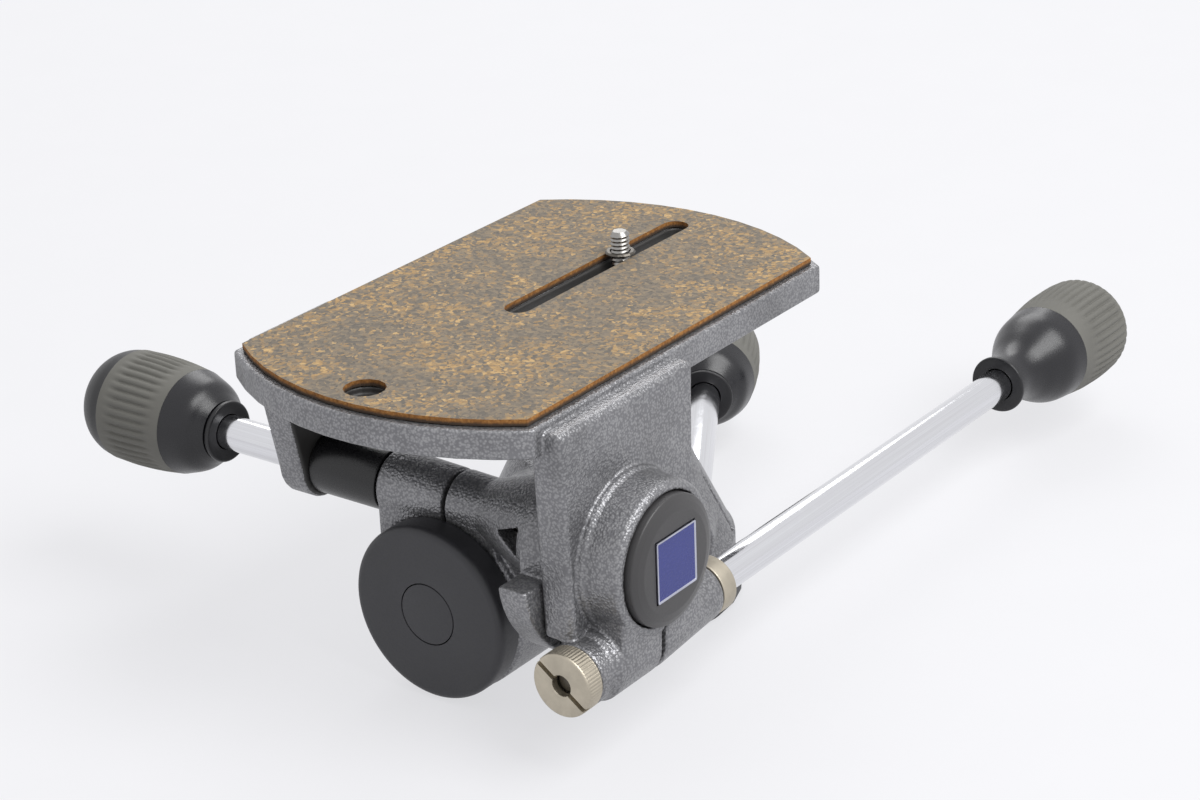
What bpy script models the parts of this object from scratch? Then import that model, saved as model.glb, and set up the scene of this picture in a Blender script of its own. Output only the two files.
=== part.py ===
"""Three-way tripod head: a fixed base, a pan casting, a side-tilting ring body, a front-tilting
platform with a cork pad, three clamp handles and a camera screw that slides along a slot.

Lengths are in metres. X runs along the platform from its front end to its back end, Y runs
across it towards the short clamp handle, and Z runs up. The pan axis is built at X = Y = 0,
and the whole head is moved at the end so that the middle of its underside is at the origin.
"""

import math

import bpy
from mathutils import Matrix, Vector

# Running gaps and small shared sizes
GAP = 0.0003
FIT = 0.0003
OVERRUN = 0.004
EDGE = 0.0012
FINE_EDGE = 0.0005
FACETS = 28
KNOB_FACETS = 22
HIDDEN_FACETS = 18
SMALL_FACETS = 14
ARC_STEPS = 11
MERGE = 0.00001

# Where the axes lie
SIDE_TILT_HEIGHT = 0.0284
TILT_RISE = 0.0305
TILT_AXIS_X = -0.0700
PLATFORM_LEAD = 0.0400
PLATE_RISE = 0.0474

# Fixed base
BASE_RIM = 0.0020
BASE_THICKNESS = 0.0054
SPINDLE_RADIUS = 0.0140
SPINDLE_FLANGE_RADIUS = 0.0240
SPINDLE_FLANGE = 0.0024
SPINDLE_TOP = 0.0400
BUSHING_RADIUS = 0.0085
BUSHING_FLANGE_RADIUS = 0.0105
BUSHING_FLANGE = 0.0016
BUSHING_HEIGHT = 0.0140
TRIPOD_THREAD_RADIUS = 0.0046
BASE_SCREW_CIRCLE = 0.0185
BASE_SCREW_RADIUS = 0.0018
BASE_SCREW_HEAD_RADIUS = 0.0034
BASE_SCREW_HEAD = 0.0018
RETAINER_RADIUS = 0.0170
RETAINER_THICKNESS = 0.0022
RETAINER_SCREW_RADIUS = 0.0025
RETAINER_SCREW_HEAD_RADIUS = 0.0045
RETAINER_SCREW_HEAD = 0.0024
RETAINER_SCREW_LENGTH = 0.0120

# Pan casting
PAN_SKIRT_RADIUS = 0.0418
PAN_STEP_HEIGHT = 0.0205
PAN_CONE_STEP = 0.0016
PAN_CONE_START = 0.0217
PAN_TOP_RADIUS = 0.0274
PAN_TOP = 0.0500
PAN_BOSS_RADIUS = 0.0226
PAN_BOSS_FRONT = -0.0496
PAN_BOSS_BACK = -0.0200
PAN_WELL_RADIUS = 0.0176
PAN_TOP_CAP = 0.0026
PAN_SLIT = 0.0016
PAN_SLIT_TOP = 0.0400
PAN_BOLT_OFFSET = 0.0280
PAN_BOLT_HEIGHT = 0.0265
PAN_HANDLE_TURN = math.radians(31.6)
PAN_SEAT = 0.0080
PAN_ROD_CLEARANCE = 0.0006
PAN_NUT_BOSS_RADIUS = 0.0085
PAN_NUT_RADIUS = 0.0062
PAN_NUT_THICKNESS = 0.0060
PAN_NUT_SINK = 0.0075

# Side-tilt shaft and its cover
SHAFT_RADIUS = 0.0168
SHAFT_FRONT = -0.0790
SHAFT_BACK = -0.0205
COVER_FRONT = -0.0880
COVER_BACK = -0.0793
COVER_RADIUS = 0.0277
COVER_ROUND = 0.0026
PLUG_RADIUS = 0.0096
PLUG_DEPTH = 0.0030
COVER_SCREW_RADIUS = 0.0030
COVER_SCREW_HEAD_RADIUS = 0.0055
COVER_SCREW_HEAD = 0.0026
COVER_SCREW_LENGTH = 0.0160

# Ring body
RING_RADIUS = 0.0280
RING_FRONT = -0.0790
RING_BACK = -0.0500
LINER_WALL = 0.0020
BARREL_RADIUS = 0.0102
BARREL_LEFT = 0.0247
BARREL_WAIST_RADIUS = 0.0092
BARREL_FLARE_START = -0.0130
BARREL_FLARE_END = -0.0380
BARREL_FLARE_RADIUS = 0.0180
FLANGE_RADIUS = 0.0234
FLANGE_INNER = -0.0398
FLANGE_WALL = 0.0098
SECTOR_RADIUS = 0.0337
SECTOR_DROP = 0.0036
SECTOR_END = math.radians(262)
WEB_FRONT = -0.0792
WEB_BACK = -0.0560
WEB_LEFT = 0.0243
WEB_RIGHT = -0.0200
WEB_FOOT = 0.0120
GUSSET_FRONT = -0.0765
POCKET_DEPTH = 0.0060
POCKET_NEAR = -0.0237
POCKET_FAR = -0.0340
POCKET_NEAR_TOP = 0.0011
POCKET_FAR_TOP = 0.0056
POCKET_DROP = 0.0040
BODY_SLIT = 0.0014
BODY_SLIT_Y = -0.0010
BODY_SLIT_FOOT = 0.0100
COVER_RELIEF_RADIUS = 0.0281
COVER_RELIEF_BACK = -0.0790
AXLE_RADIUS = 0.0132
AXLE_END = -0.0700
AXLE_TAIL_RADIUS = 0.0070
AXLE_TAIL_END = -0.0260
SLEEVE_RADIUS = 0.0097
INSERT_RADIUS = 0.0062
INSERT_NEAR = -0.0040
INSERT_FAR = -0.0180

# Platform
PLATE_RADIUS = 0.0910
PLATE_OVER_WING = 0.0048
PLATE_THICKNESS = 0.0090
PLATE_HOLLOW = 0.0035
PLATE_SKIRT = 0.0042
CORK_END_STEP = 0.0025
CORK_SIDE_STEP = 0.0027
CORK_THICKNESS = 0.0020
SLOT_START = -0.0120
SLOT_END_LAND = 0.0105
SLOT_WIDTH = 0.0070
CORK_SLOT_WIDTH = 0.0086
PIN_HOLE_LAND = 0.0105
PIN_HOLE_RADIUS = 0.0062
PIN_HOLE_DEPTH = 0.0022
WING_CLEARANCE = 0.0004
WING_WALL = 0.0108
LEDGE_DROP = 0.0022
NEAR_WING_FRONT_TOP = -0.0290
NEAR_WING_FRONT_FOOT = -0.0265
NEAR_WING_BACK_TOP = 0.0350
NEAR_WING_BACK_FOOT = 0.0335
NEAR_WING_FOOT = -0.0200
NEAR_WING_BACK_CORNER = -0.0100
FAR_WING_FRONT_TOP = -0.0210
FAR_WING_BACK_TOP = 0.0172
FAR_WING_RADIUS = 0.0115
FAR_WING_SHIFT = 0.0010
HUB_RADIUS = 0.0245
HUB_LIP = 0.0022
HUB_WAIST_RADIUS = 0.0236
HUB_FRONT_RADIUS = 0.0230
HUB_REACH = 0.0134
HUB_ROUND = 0.0022
HUB_WELL_RADIUS = 0.0201
HUB_WELL_DEPTH = 0.0028
LUG_RADIUS = 0.0110
LUG_AXIS_STEP = 0.0012
LUG_AXIS_DROP = 0.0280
LUG_FRONT = -0.0280
LUG_BACK = 0.0337
LUG_TAPER_START = 0.0020
LUG_BACK_RADIUS = 0.0090
LUG_NECK_RADIUS = 0.0098
LUG_NECK = 0.0070
LUG_BLOCK_HALF = 0.0190
HUB_SLIT = 0.0019
HUB_SLIT_HEAD = 0.0090
HUB_CAP_RADIUS = 0.0196
HUB_CAP_RIM = 0.0022
HUB_CAP_CROWN = 0.0012
BADGE_SIDE = 0.0190
BADGE_THICKNESS = 0.0010
BADGE_RECESS = 0.0008
PIVOT_BUSH_WALL = 0.0022
NUT_RADIUS = 0.0098
NUT_THICKNESS = 0.0066
NUT_CHAMFER = 0.0012
NUT_SLOT = 0.0016
NUT_SLOT_DEPTH = 0.0022
NUT_SLOT_TURN = math.radians(36)
NUT_HOLLOW = 0.0030
WASHER_RADIUS = 0.0088
WASHER_THICKNESS = 0.0064

# Clamp handles
ROD_RADIUS = 0.0055
SHANK_RADIUS = 0.0034
LONG_ROD = 0.1728
SHORT_ROD_OUT = 0.0920
SHORT_SHANK_END = -0.0150
PAN_ROD = 0.0810
KNOB_COLLAR_RADIUS = 0.0099
KNOB_COLLAR_NECK = 0.0088
KNOB_COLLAR = 0.0026
KNOB_RADIUS = 0.0184
KNOB_CORE_RADIUS = 0.0115
SHORT_KNOB_NECK = 0.0124
SHORT_KNOB_GRIP = 0.0256
SHORT_KNOB_DOME = 0.0150
LONG_KNOB_NECK = 0.0307
LONG_KNOB_GRIP = 0.0350
LONG_KNOB_DOME = 0.0056
KNOB_ROD_DEPTH = 0.0120
# Shares of the neck length and of the knob radius, from the collar out to the rubber grip.
LONG_NECK_SHARES = ((0.0, 0.47), (0.2, 0.46), (0.38, 0.55), (0.56, 0.72), (0.76, 0.87), (1.0, 0.925))
SHORT_NECK_SHARES = ((0.0, 0.52), (0.16, 0.62), (0.45, 0.79), (1.0, 0.925))
# Shares of the grip length and of the knob radius. The long handle's grip reaches over its end.
SHORT_GRIP_SHARES = ((0.0, 0.925), (0.3, 0.975), (0.62, 1.0), (1.0, 0.985))
LONG_GRIP_SHARES = ((0.0, 0.925), (0.24, 0.98), (0.47, 1.0), (0.73, 0.985), (0.86, 0.93), (1.0, 0.75))
# Shares of the dome length and of the knob radius.
SHORT_DOME_SHARES = ((0.0, 0.98), (0.25, 0.94), (0.5, 0.84), (0.72, 0.67), (0.9, 0.42), (1.0, 0.0))
LONG_DOME_SHARES = ((0.0, 0.74), (0.4, 0.62), (0.8, 0.38), (1.0, 0.0))

# Camera screw
CAMERA_SCREW_X = 0.0440
CAMERA_SCREW_RADIUS = 0.00305
CAMERA_SCREW_RISE = 0.0078
CAMERA_SCREW_ROUND = 0.0010
CARRIER_RADIUS = 0.0082
CARRIER_THICKNESS = 0.0024
KEEPER_RADIUS = 0.0048
KEEPER_THICKNESS = 0.0011
SCREW_KNOB_RADIUS = 0.0112
SCREW_KNOB_THICKNESS = 0.0060

# Sizes that follow from the ones above
BASE_RADIUS = PAN_SKIRT_RADIUS + BASE_RIM
PAN_CONE_RADIUS = PAN_SKIRT_RADIUS - PAN_CONE_STEP
PAN_NUT_SETBACK = math.sqrt(PAN_SKIRT_RADIUS ** 2 - PAN_BOLT_OFFSET ** 2) - PAN_NUT_SINK
PAN_SHANK = PAN_SEAT + PAN_NUT_SETBACK + PAN_NUT_THICKNESS
TILT_AXIS_Z = SIDE_TILT_HEIGHT + TILT_RISE
PLATFORM_X = TILT_AXIS_X + PLATFORM_LEAD
FLANGE_OUTER = FLANGE_INNER - FLANGE_WALL
WING_INNER = WING_CLEARANCE - FLANGE_OUTER
WING_OUTER = WING_INNER + WING_WALL
FAR_WING_INNER = WING_INNER + FAR_WING_SHIFT
FAR_WING_OUTER = FAR_WING_INNER + WING_WALL
PLATE_HALF_WIDTH = WING_INNER + PLATE_OVER_WING
HUB_FRONT = WING_OUTER + HUB_REACH
HUB_WELL_FLOOR = HUB_FRONT - HUB_WELL_DEPTH
LUG_AXIS_Y = -WING_OUTER - LUG_AXIS_STEP
PLATE_TOP = TILT_AXIS_Z + PLATE_RISE
PLATE_BOTTOM = PLATE_TOP - PLATE_THICKNESS
CORK_TOP = PLATE_TOP + GAP + CORK_THICKNESS
CORK_RADIUS = PLATE_RADIUS - CORK_END_STEP
CORK_HALF_WIDTH = PLATE_HALF_WIDTH - CORK_SIDE_STEP
SLOT_END = CORK_RADIUS - SLOT_END_LAND
PIN_HOLE_X = PIN_HOLE_LAND - CORK_RADIUS
BOLT_BORE = SHANK_RADIUS + FIT
LUG_AXIS_Z = TILT_AXIS_Z - LUG_AXIS_DROP
SIDE = (0.0, 0.0, SIDE_TILT_HEIGHT)
TILT = (TILT_AXIS_X, 0.0, TILT_AXIS_Z)
PAN_LINE = Vector((math.cos(PAN_HANDLE_TURN), math.sin(PAN_HANDLE_TURN), 0.0))
PAN_FOOT = Vector((PAN_LINE.y, -PAN_LINE.x, 0.0)) * PAN_BOLT_OFFSET
PAN_SEAT_POINT = PAN_FOOT + PAN_LINE * PAN_SEAT + Vector((0.0, 0.0, PAN_BOLT_HEIGHT))
LUG_SEAT_X = TILT_AXIS_X + LUG_BACK + GAP + WASHER_THICKNESS + GAP
NUT_FACE_X = TILT_AXIS_X + LUG_FRONT - GAP - NUT_THICKNESS
LONG_SHANK = LUG_SEAT_X - NUT_FACE_X - NUT_HOLLOW
LUG_SPOT = (TILT_AXIS_X, LUG_AXIS_Y, LUG_AXIS_Z)
LONG_SEAT_POINT = Vector((LUG_SEAT_X, LUG_AXIS_Y, LUG_AXIS_Z))
SHORT_SEAT_POINT = Vector((TILT_AXIS_X, BARREL_LEFT + GAP, TILT_AXIS_Z))
LONG_FORM = (LONG_KNOB_NECK, LONG_NECK_SHARES, LONG_KNOB_GRIP, LONG_GRIP_SHARES, LONG_KNOB_DOME,
             LONG_DOME_SHARES)
SHORT_FORM = (SHORT_KNOB_NECK, SHORT_NECK_SHARES, SHORT_KNOB_GRIP, SHORT_GRIP_SHARES, SHORT_KNOB_DOME,
              SHORT_DOME_SHARES)

# Surface colours: linear red, green, blue, then roughness and metallic
GREY_PAINT = ((0.22, 0.22, 0.23), 0.45, 0.35)
STEEL = ((0.55, 0.55, 0.56), 0.32, 1.0)
ALUMINIUM = ((0.62, 0.62, 0.64), 0.36, 1.0)
CHROME = ((0.80, 0.80, 0.82), 0.08, 1.0)
BEIGE_METAL = ((0.42, 0.39, 0.31), 0.42, 0.7)
BRASS = ((0.60, 0.43, 0.18), 0.35, 1.0)
BLACK_PLASTIC = ((0.035, 0.035, 0.038), 0.38, 0.0)
GREY_RUBBER = ((0.20, 0.20, 0.18), 0.75, 0.0)
CORK = ((0.30, 0.23, 0.14), 0.85, 0.0)
BLUE_PLATE = ((0.07, 0.07, 0.28), 0.35, 0.0)
NYLON = ((0.60, 0.58, 0.52), 0.55, 0.0)

# These four are cast in one piece, with many crossing bores and slits.
CASTINGS = ("base_plate", "pan_casting", "ring_body", "platform_casting")

ALONG_X = Matrix.Rotation(math.radians(90), 3, "Y")
ALONG_Y = Matrix.Rotation(math.radians(-90), 3, "X")
ALONG_Z = Matrix.Identity(3)

PARTS = bpy.data.collections.new("tripod_head")
CUTTERS = bpy.data.collections.new("cutters")


def clear_scene():
    for old in list(bpy.data.objects):
        bpy.data.objects.remove(old, do_unlink=True)
    bpy.context.scene.collection.children.link(PARTS)
    bpy.context.scene.collection.children.link(CUTTERS)


def empty(name, point, parent=None):
    """A point on a joint's axis, which carries the pieces that turn or slide there."""
    made = bpy.data.objects.new(name, None)
    PARTS.objects.link(made)
    made["world_point"] = tuple(point)
    made.parent = parent
    origin = Vector(parent["world_point"]) if parent else Vector()
    made.location = Vector(point) - origin
    return made


def place(obj, point, turn, parent):
    obj.parent = parent
    obj.location = Vector(point) - Vector(parent["world_point"])
    obj.rotation_euler = turn.to_euler()
    return obj


def new_object(name, points, edges, faces):
    mesh = bpy.data.meshes.new(name)
    mesh.from_pydata(points, edges, faces)
    return bpy.data.objects.new(name, mesh)


def paint(obj, look):
    colour, roughness, metallic = look
    material = bpy.data.materials.new(obj.name)
    material.use_nodes = True
    shader = material.node_tree.nodes["Principled BSDF"]
    shader.inputs["Base Color"].default_value = (*colour, 1.0)
    shader.inputs["Roughness"].default_value = roughness
    shader.inputs["Metallic"].default_value = metallic
    obj.data.materials.append(material)


def show(obj, look):
    """A finished piece of the head, with its own surface."""
    PARTS.objects.link(obj)
    paint(obj, look)
    return obj


def hide(obj):
    """A shape that only cuts or adds to a piece of the head."""
    CUTTERS.objects.link(obj)
    obj.hide_render = True
    obj.display_type = "WIRE"
    return obj


def spin(obj, facets):
    """Turns the drawn profile about its own Z axis."""
    screw = obj.modifiers.new("Turn", "SCREW")
    screw.steps = facets
    screw.render_steps = facets
    screw.use_merge_vertices = True
    screw.merge_threshold = MERGE
    return obj


def turned(name, outer, facets=FACETS, bore=None):
    """A turned shape from (radius, height) pairs listed from its top end to its bottom end.
    With a bore the profile closes on itself round the hole."""
    if bore:
        rows = list(outer) + [(bore, outer[-1][1]), (bore, outer[0][1])]
    else:
        rows = [(0.0, outer[0][1])] + list(outer) + [(0.0, outer[-1][1])]
    points = [(radius, 0.0, height) for radius, height in rows]
    edges = [(index, index + 1) for index in range(len(points) - 1)]
    if bore:
        edges.append((len(points) - 1, 0))
    return spin(new_object(name, points, edges, []), facets)


def rounded(radius, top, bottom, edge=FINE_EDGE):
    """The profile of a plain cylinder with a chamfer at both ends."""
    return [(radius - edge, top), (radius, top - edge), (radius, bottom + edge), (radius - edge, bottom)]


def sheet(name, outline, low, high, edge=0.0):
    """A flat shape: an outline in its local XY plane, thickened from low to high along Z."""
    points = [(x, y, high) for x, y in anticlockwise(outline)]
    obj = new_object(name, points, [], [tuple(range(len(points)))])
    solid = obj.modifiers.new("Thick", "SOLIDIFY")
    solid.thickness = high - low
    solid.offset = -1.0
    if edge:
        soften(obj, edge)
    return obj


def anticlockwise(outline):
    """The same outline, turned round where it runs clockwise."""
    ahead = list(outline[1:]) + [outline[0]]
    area = sum(here[0] * there[1] - there[0] * here[1] for here, there in zip(outline, ahead))
    return list(outline) if area > 0 else list(reversed(outline))


def soften(obj, width, segments=1):
    bevel = obj.modifiers.new("Edges", "BEVEL")
    bevel.width = width
    bevel.segments = segments
    bevel.limit_method = "ANGLE"
    bevel.angle_limit = math.radians(40)
    return obj


def box(name, low, high):
    """A box between two corners, as a flat outline thickened along Z."""
    outline = ((low[0], low[1]), (high[0], low[1]), (high[0], high[1]), (low[0], high[1]))
    return sheet(name, outline, low[2], high[2])


def plain(radius, top, bottom):
    """The profile of a cylinder with sharp ends."""
    return [(radius, top), (radius, bottom)]


def combine(obj, other, operation):
    step = obj.modifiers.new(operation.title(), "BOOLEAN")
    step.operation = operation
    step.solver = "MANIFOLD" if obj.name in CASTINGS else "EXACT"
    step.object = other
    return obj


def cut(obj, shape, point, turn, parent):
    combine(obj, place(hide(shape), point, turn, parent), "DIFFERENCE")


def join(obj, shape, point, turn, parent):
    combine(obj, place(hide(shape), point, turn, parent), "UNION")


def arc(radius, start, end, steps=ARC_STEPS, centre=(0.0, 0.0)):
    """Points along an arc, anticlockwise from start to end."""
    found = []
    for index in range(steps + 1):
        angle = start + (end - start) * index / steps
        found.append((centre[0] + radius * math.cos(angle), centre[1] + radius * math.sin(angle)))
    return found


def cut_circle(radius, half_width):
    """The platform's outline: a circle with two parallel sides."""
    lean = math.asin(min(half_width / radius, 1.0))
    return arc(radius, -lean, lean) + arc(radius, math.pi - lean, math.pi + lean)


def slot_outline(start, end, width):
    half = width / 2
    quarter = math.pi / 2
    right = arc(half, -quarter, quarter, 8, (end - half, 0.0))
    return right + arc(half, quarter, 3 * quarter, 8, (start + half, 0.0))


def fixed_base(root):
    base = show(turned("base_plate", rounded(BASE_RADIUS, BASE_THICKNESS, 0.0, EDGE)), GREY_PAINT)
    place(base, (0, 0, 0), ALONG_Z, root)
    seat_floor = BASE_THICKNESS - SPINDLE_FLANGE
    well = turned("spindle_seat", [(SPINDLE_FLANGE_RADIUS + FIT, BASE_THICKNESS + OVERRUN),
                                   (SPINDLE_FLANGE_RADIUS + FIT, seat_floor - GAP)])
    cut(base, well, (0, 0, 0), ALONG_Z, root)
    bushing_bore = turned("bushing_bore", [(BUSHING_FLANGE_RADIUS + FIT, OVERRUN + BASE_THICKNESS),
                                           (BUSHING_FLANGE_RADIUS + FIT, -OVERRUN)])
    cut(base, bushing_bore, (0, 0, 0), ALONG_Z, root)
    spindle(root, seat_floor)
    bushing(root)
    base_screws(root, base, seat_floor)
    retainer(root)


def spindle(root, seat_floor):
    outer = [(SPINDLE_RADIUS - EDGE, SPINDLE_TOP), (SPINDLE_RADIUS, SPINDLE_TOP - EDGE),
             (SPINDLE_RADIUS, BASE_THICKNESS), (SPINDLE_FLANGE_RADIUS, BASE_THICKNESS),
             (SPINDLE_FLANGE_RADIUS, seat_floor)]
    post = show(turned("pan_spindle", outer, HIDDEN_FACETS), STEEL)
    place(post, (0, 0, 0), ALONG_Z, root)
    top = BUSHING_HEIGHT + GAP
    rise = BUSHING_FLANGE + GAP
    hole = turned("bushing_seat", [(BUSHING_RADIUS + FIT, top), (BUSHING_RADIUS + FIT, rise),
                                   (BUSHING_FLANGE_RADIUS + FIT, rise),
                                   (BUSHING_FLANGE_RADIUS + FIT, -OVERRUN)])
    cut(post, hole, (0, 0, 0), ALONG_Z, root)
    thread = turned("retainer_thread", [(RETAINER_SCREW_RADIUS + FIT, SPINDLE_TOP + OVERRUN),
                                        (RETAINER_SCREW_RADIUS + FIT, SPINDLE_TOP - RETAINER_SCREW_LENGTH)],
                    SMALL_FACETS)
    cut(post, thread, (0, 0, 0), ALONG_Z, root)


def bushing(root):
    outer = [(BUSHING_RADIUS, BUSHING_HEIGHT), (BUSHING_RADIUS, BUSHING_FLANGE),
             (BUSHING_FLANGE_RADIUS, BUSHING_FLANGE), (BUSHING_FLANGE_RADIUS, GAP)]
    made = show(turned("tripod_bushing", outer, HIDDEN_FACETS, TRIPOD_THREAD_RADIUS), BRASS)
    place(made, (0, 0, 0), ALONG_Z, root)


def base_screws(root, base, seat_floor):
    post = bpy.data.objects["pan_spindle"]
    for number, turn in enumerate((90, 210, 330), 1):
        angle = math.radians(turn)
        spot = (BASE_SCREW_CIRCLE * math.cos(angle), BASE_SCREW_CIRCLE * math.sin(angle), 0.0)
        shank_top = seat_floor + SPINDLE_FLANGE - GAP
        head = BASE_SCREW_HEAD_RADIUS
        outer = [(BASE_SCREW_RADIUS, shank_top), (BASE_SCREW_RADIUS, BASE_SCREW_HEAD),
                 (head, GAP + FINE_EDGE), (head, GAP)]
        made = show(turned("base_screw_%d" % number, outer, SMALL_FACETS), STEEL)
        place(made, spot, ALONG_Z, root)
        room = [(BASE_SCREW_RADIUS + FIT, shank_top + GAP + OVERRUN),
                (BASE_SCREW_RADIUS + FIT, BASE_SCREW_HEAD),
                (head + FIT, GAP + FINE_EDGE), (head + FIT, -OVERRUN)]
        for piece in (base, post):
            hole = turned("screw_hole_%d_%s" % (number, piece.name), room, SMALL_FACETS)
            cut(piece, hole, spot, ALONG_Z, root)


def retainer(root):
    low = SPINDLE_TOP + GAP
    high = low + RETAINER_THICKNESS
    disc = turned("spindle_retainer", plain(RETAINER_RADIUS, high, low), HIDDEN_FACETS,
                  RETAINER_SCREW_RADIUS + FIT)
    place(show(disc, STEEL), (0, 0, 0), ALONG_Z, root)
    head_low = high + GAP
    head_high = head_low + RETAINER_SCREW_HEAD
    outer = [(RETAINER_SCREW_HEAD_RADIUS - FINE_EDGE, head_high),
             (RETAINER_SCREW_HEAD_RADIUS, head_high - FINE_EDGE),
             (RETAINER_SCREW_HEAD_RADIUS, head_low), (RETAINER_SCREW_RADIUS, head_low),
             (RETAINER_SCREW_RADIUS, SPINDLE_TOP - RETAINER_SCREW_LENGTH + GAP)]
    place(show(turned("retainer_screw", outer, SMALL_FACETS), STEEL), (0, 0, 0), ALONG_Z, root)


def pan_casting(pan):
    low = BASE_THICKNESS + GAP
    outer = [(PAN_TOP_RADIUS - EDGE, PAN_TOP), (PAN_TOP_RADIUS, PAN_TOP - EDGE),
             (PAN_CONE_RADIUS, PAN_CONE_START), (PAN_SKIRT_RADIUS - EDGE, PAN_STEP_HEIGHT),
             (PAN_SKIRT_RADIUS, PAN_STEP_HEIGHT - EDGE), (PAN_SKIRT_RADIUS, low + EDGE),
             (PAN_SKIRT_RADIUS - EDGE, low)]
    casting = show(turned("pan_casting", outer), GREY_PAINT)
    place(casting, (0, 0, 0), ALONG_Z, pan)
    boss = turned("shaft_boss", rounded(PAN_BOSS_RADIUS, PAN_BOSS_BACK, PAN_BOSS_FRONT, EDGE))
    join(casting, boss, SIDE, ALONG_X, pan)
    nut_boss = turned("nut_boss", rounded(PAN_NUT_BOSS_RADIUS, 0.0, -PAN_NUT_SETBACK))
    line = Matrix.Rotation(PAN_HANDLE_TURN, 3, "Z") @ ALONG_X
    foot = PAN_FOOT + Vector((0.0, 0.0, PAN_BOLT_HEIGHT))
    join(casting, nut_boss, foot, line, pan)
    cut_pan_bores(casting, pan, low)
    pan_clamp(casting, pan, foot, line)
    top_cap = turned("pan_top_cap", rounded(PAN_WELL_RADIUS - FIT, PAN_TOP, PAN_TOP - PAN_TOP_CAP),
                     HIDDEN_FACETS)
    place(show(top_cap, BLACK_PLASTIC), (0, 0, 0), ALONG_Z, pan)
    return casting


def cut_pan_bores(casting, pan, low):
    well_floor = SPINDLE_TOP - GAP
    bore = turned("spindle_bore", [(PAN_WELL_RADIUS, PAN_TOP + OVERRUN), (PAN_WELL_RADIUS, well_floor),
                                   (SPINDLE_RADIUS + FIT, well_floor),
                                   (SPINDLE_RADIUS + FIT, low - OVERRUN)])
    cut(casting, bore, (0, 0, 0), ALONG_Z, pan)
    shaft = turned("shaft_bore", [(SHAFT_RADIUS + FIT, SHAFT_BACK + GAP),
                                  (SHAFT_RADIUS + FIT, PAN_BOSS_FRONT - OVERRUN)])
    cut(casting, shaft, SIDE, ALONG_X, pan)
    reach = PAN_SKIRT_RADIUS + OVERRUN
    slit = box("pan_slit", (0.0, -PAN_SLIT / 2, low - OVERRUN), (reach, PAN_SLIT / 2, PAN_SLIT_TOP))
    across = Matrix.Rotation(PAN_HANDLE_TURN - math.pi / 2, 3, "Z")
    cut(casting, slit, (0, 0, 0), across, pan)


def pan_clamp(casting, pan, foot, line):
    """The bore that the third handle's rod enters from one side and its nut from the other."""
    rod_bore = ROD_RADIUS + PAN_ROD_CLEARANCE
    bolt = turned("pan_bolt_bore", [(rod_bore, PAN_SKIRT_RADIUS), (rod_bore, PAN_SEAT),
                                    (BOLT_BORE, PAN_SEAT), (BOLT_BORE, -PAN_NUT_SETBACK),
                                    (PAN_NUT_RADIUS + FIT, -PAN_NUT_SETBACK),
                                    (PAN_NUT_RADIUS + FIT, -PAN_SKIRT_RADIUS)], SMALL_FACETS)
    cut(casting, bolt, foot, line, pan)
    nut_high = -PAN_NUT_SETBACK - GAP
    nut = turned("pan_clamp_nut", rounded(PAN_NUT_RADIUS, nut_high, nut_high - PAN_NUT_THICKNESS),
                 SMALL_FACETS, BOLT_BORE)
    place(show(nut, BEIGE_METAL), foot, line, pan)


def side_tilt_shaft(pan):
    shaft = turned("side_tilt_shaft", rounded(SHAFT_RADIUS, SHAFT_BACK, SHAFT_FRONT), HIDDEN_FACETS)
    place(show(shaft, ALUMINIUM), SIDE, ALONG_X, pan)
    tip = SHAFT_FRONT + COVER_SCREW_LENGTH
    hole = turned("cover_thread", [(COVER_SCREW_RADIUS + FIT, tip),
                                   (COVER_SCREW_RADIUS + FIT, SHAFT_FRONT - OVERRUN)], SMALL_FACETS)
    cut(shaft, hole, SIDE, ALONG_X, pan)
    cover(pan, tip)


def cover(pan, tip):
    outer = [(COVER_RADIUS - EDGE, COVER_BACK), (COVER_RADIUS, COVER_BACK - EDGE)]
    for angle in (0, 22, 45, 68, 90):
        bend = math.radians(angle)
        outer.append((COVER_RADIUS - COVER_ROUND * (1 - math.cos(bend)),
                      COVER_FRONT + COVER_ROUND * (1 - math.sin(bend))))
    made = show(turned("front_cover", outer), BLACK_PLASTIC)
    place(made, SIDE, ALONG_X, pan)
    plug_floor = COVER_FRONT + PLUG_DEPTH
    head_floor = plug_floor + GAP + COVER_SCREW_HEAD
    room = [(COVER_SCREW_RADIUS + FIT, COVER_BACK + OVERRUN), (COVER_SCREW_RADIUS + FIT, head_floor),
            (COVER_SCREW_HEAD_RADIUS + FIT, head_floor), (COVER_SCREW_HEAD_RADIUS + FIT, plug_floor),
            (PLUG_RADIUS + FIT, plug_floor), (PLUG_RADIUS + FIT, COVER_FRONT - OVERRUN)]
    cut(made, turned("plug_seat", room), SIDE, ALONG_X, pan)
    plug = turned("cover_plug", rounded(PLUG_RADIUS, plug_floor - GAP, COVER_FRONT))
    place(show(plug, BLACK_PLASTIC), SIDE, ALONG_X, pan)
    head_top = plug_floor + GAP
    outer = [(COVER_SCREW_RADIUS, tip - GAP), (COVER_SCREW_RADIUS, head_floor - GAP),
             (COVER_SCREW_HEAD_RADIUS, head_floor - GAP), (COVER_SCREW_HEAD_RADIUS, head_top)]
    screw = turned("cover_screw", outer, SMALL_FACETS)
    place(show(screw, STEEL), SIDE, ALONG_X, pan)


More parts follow.
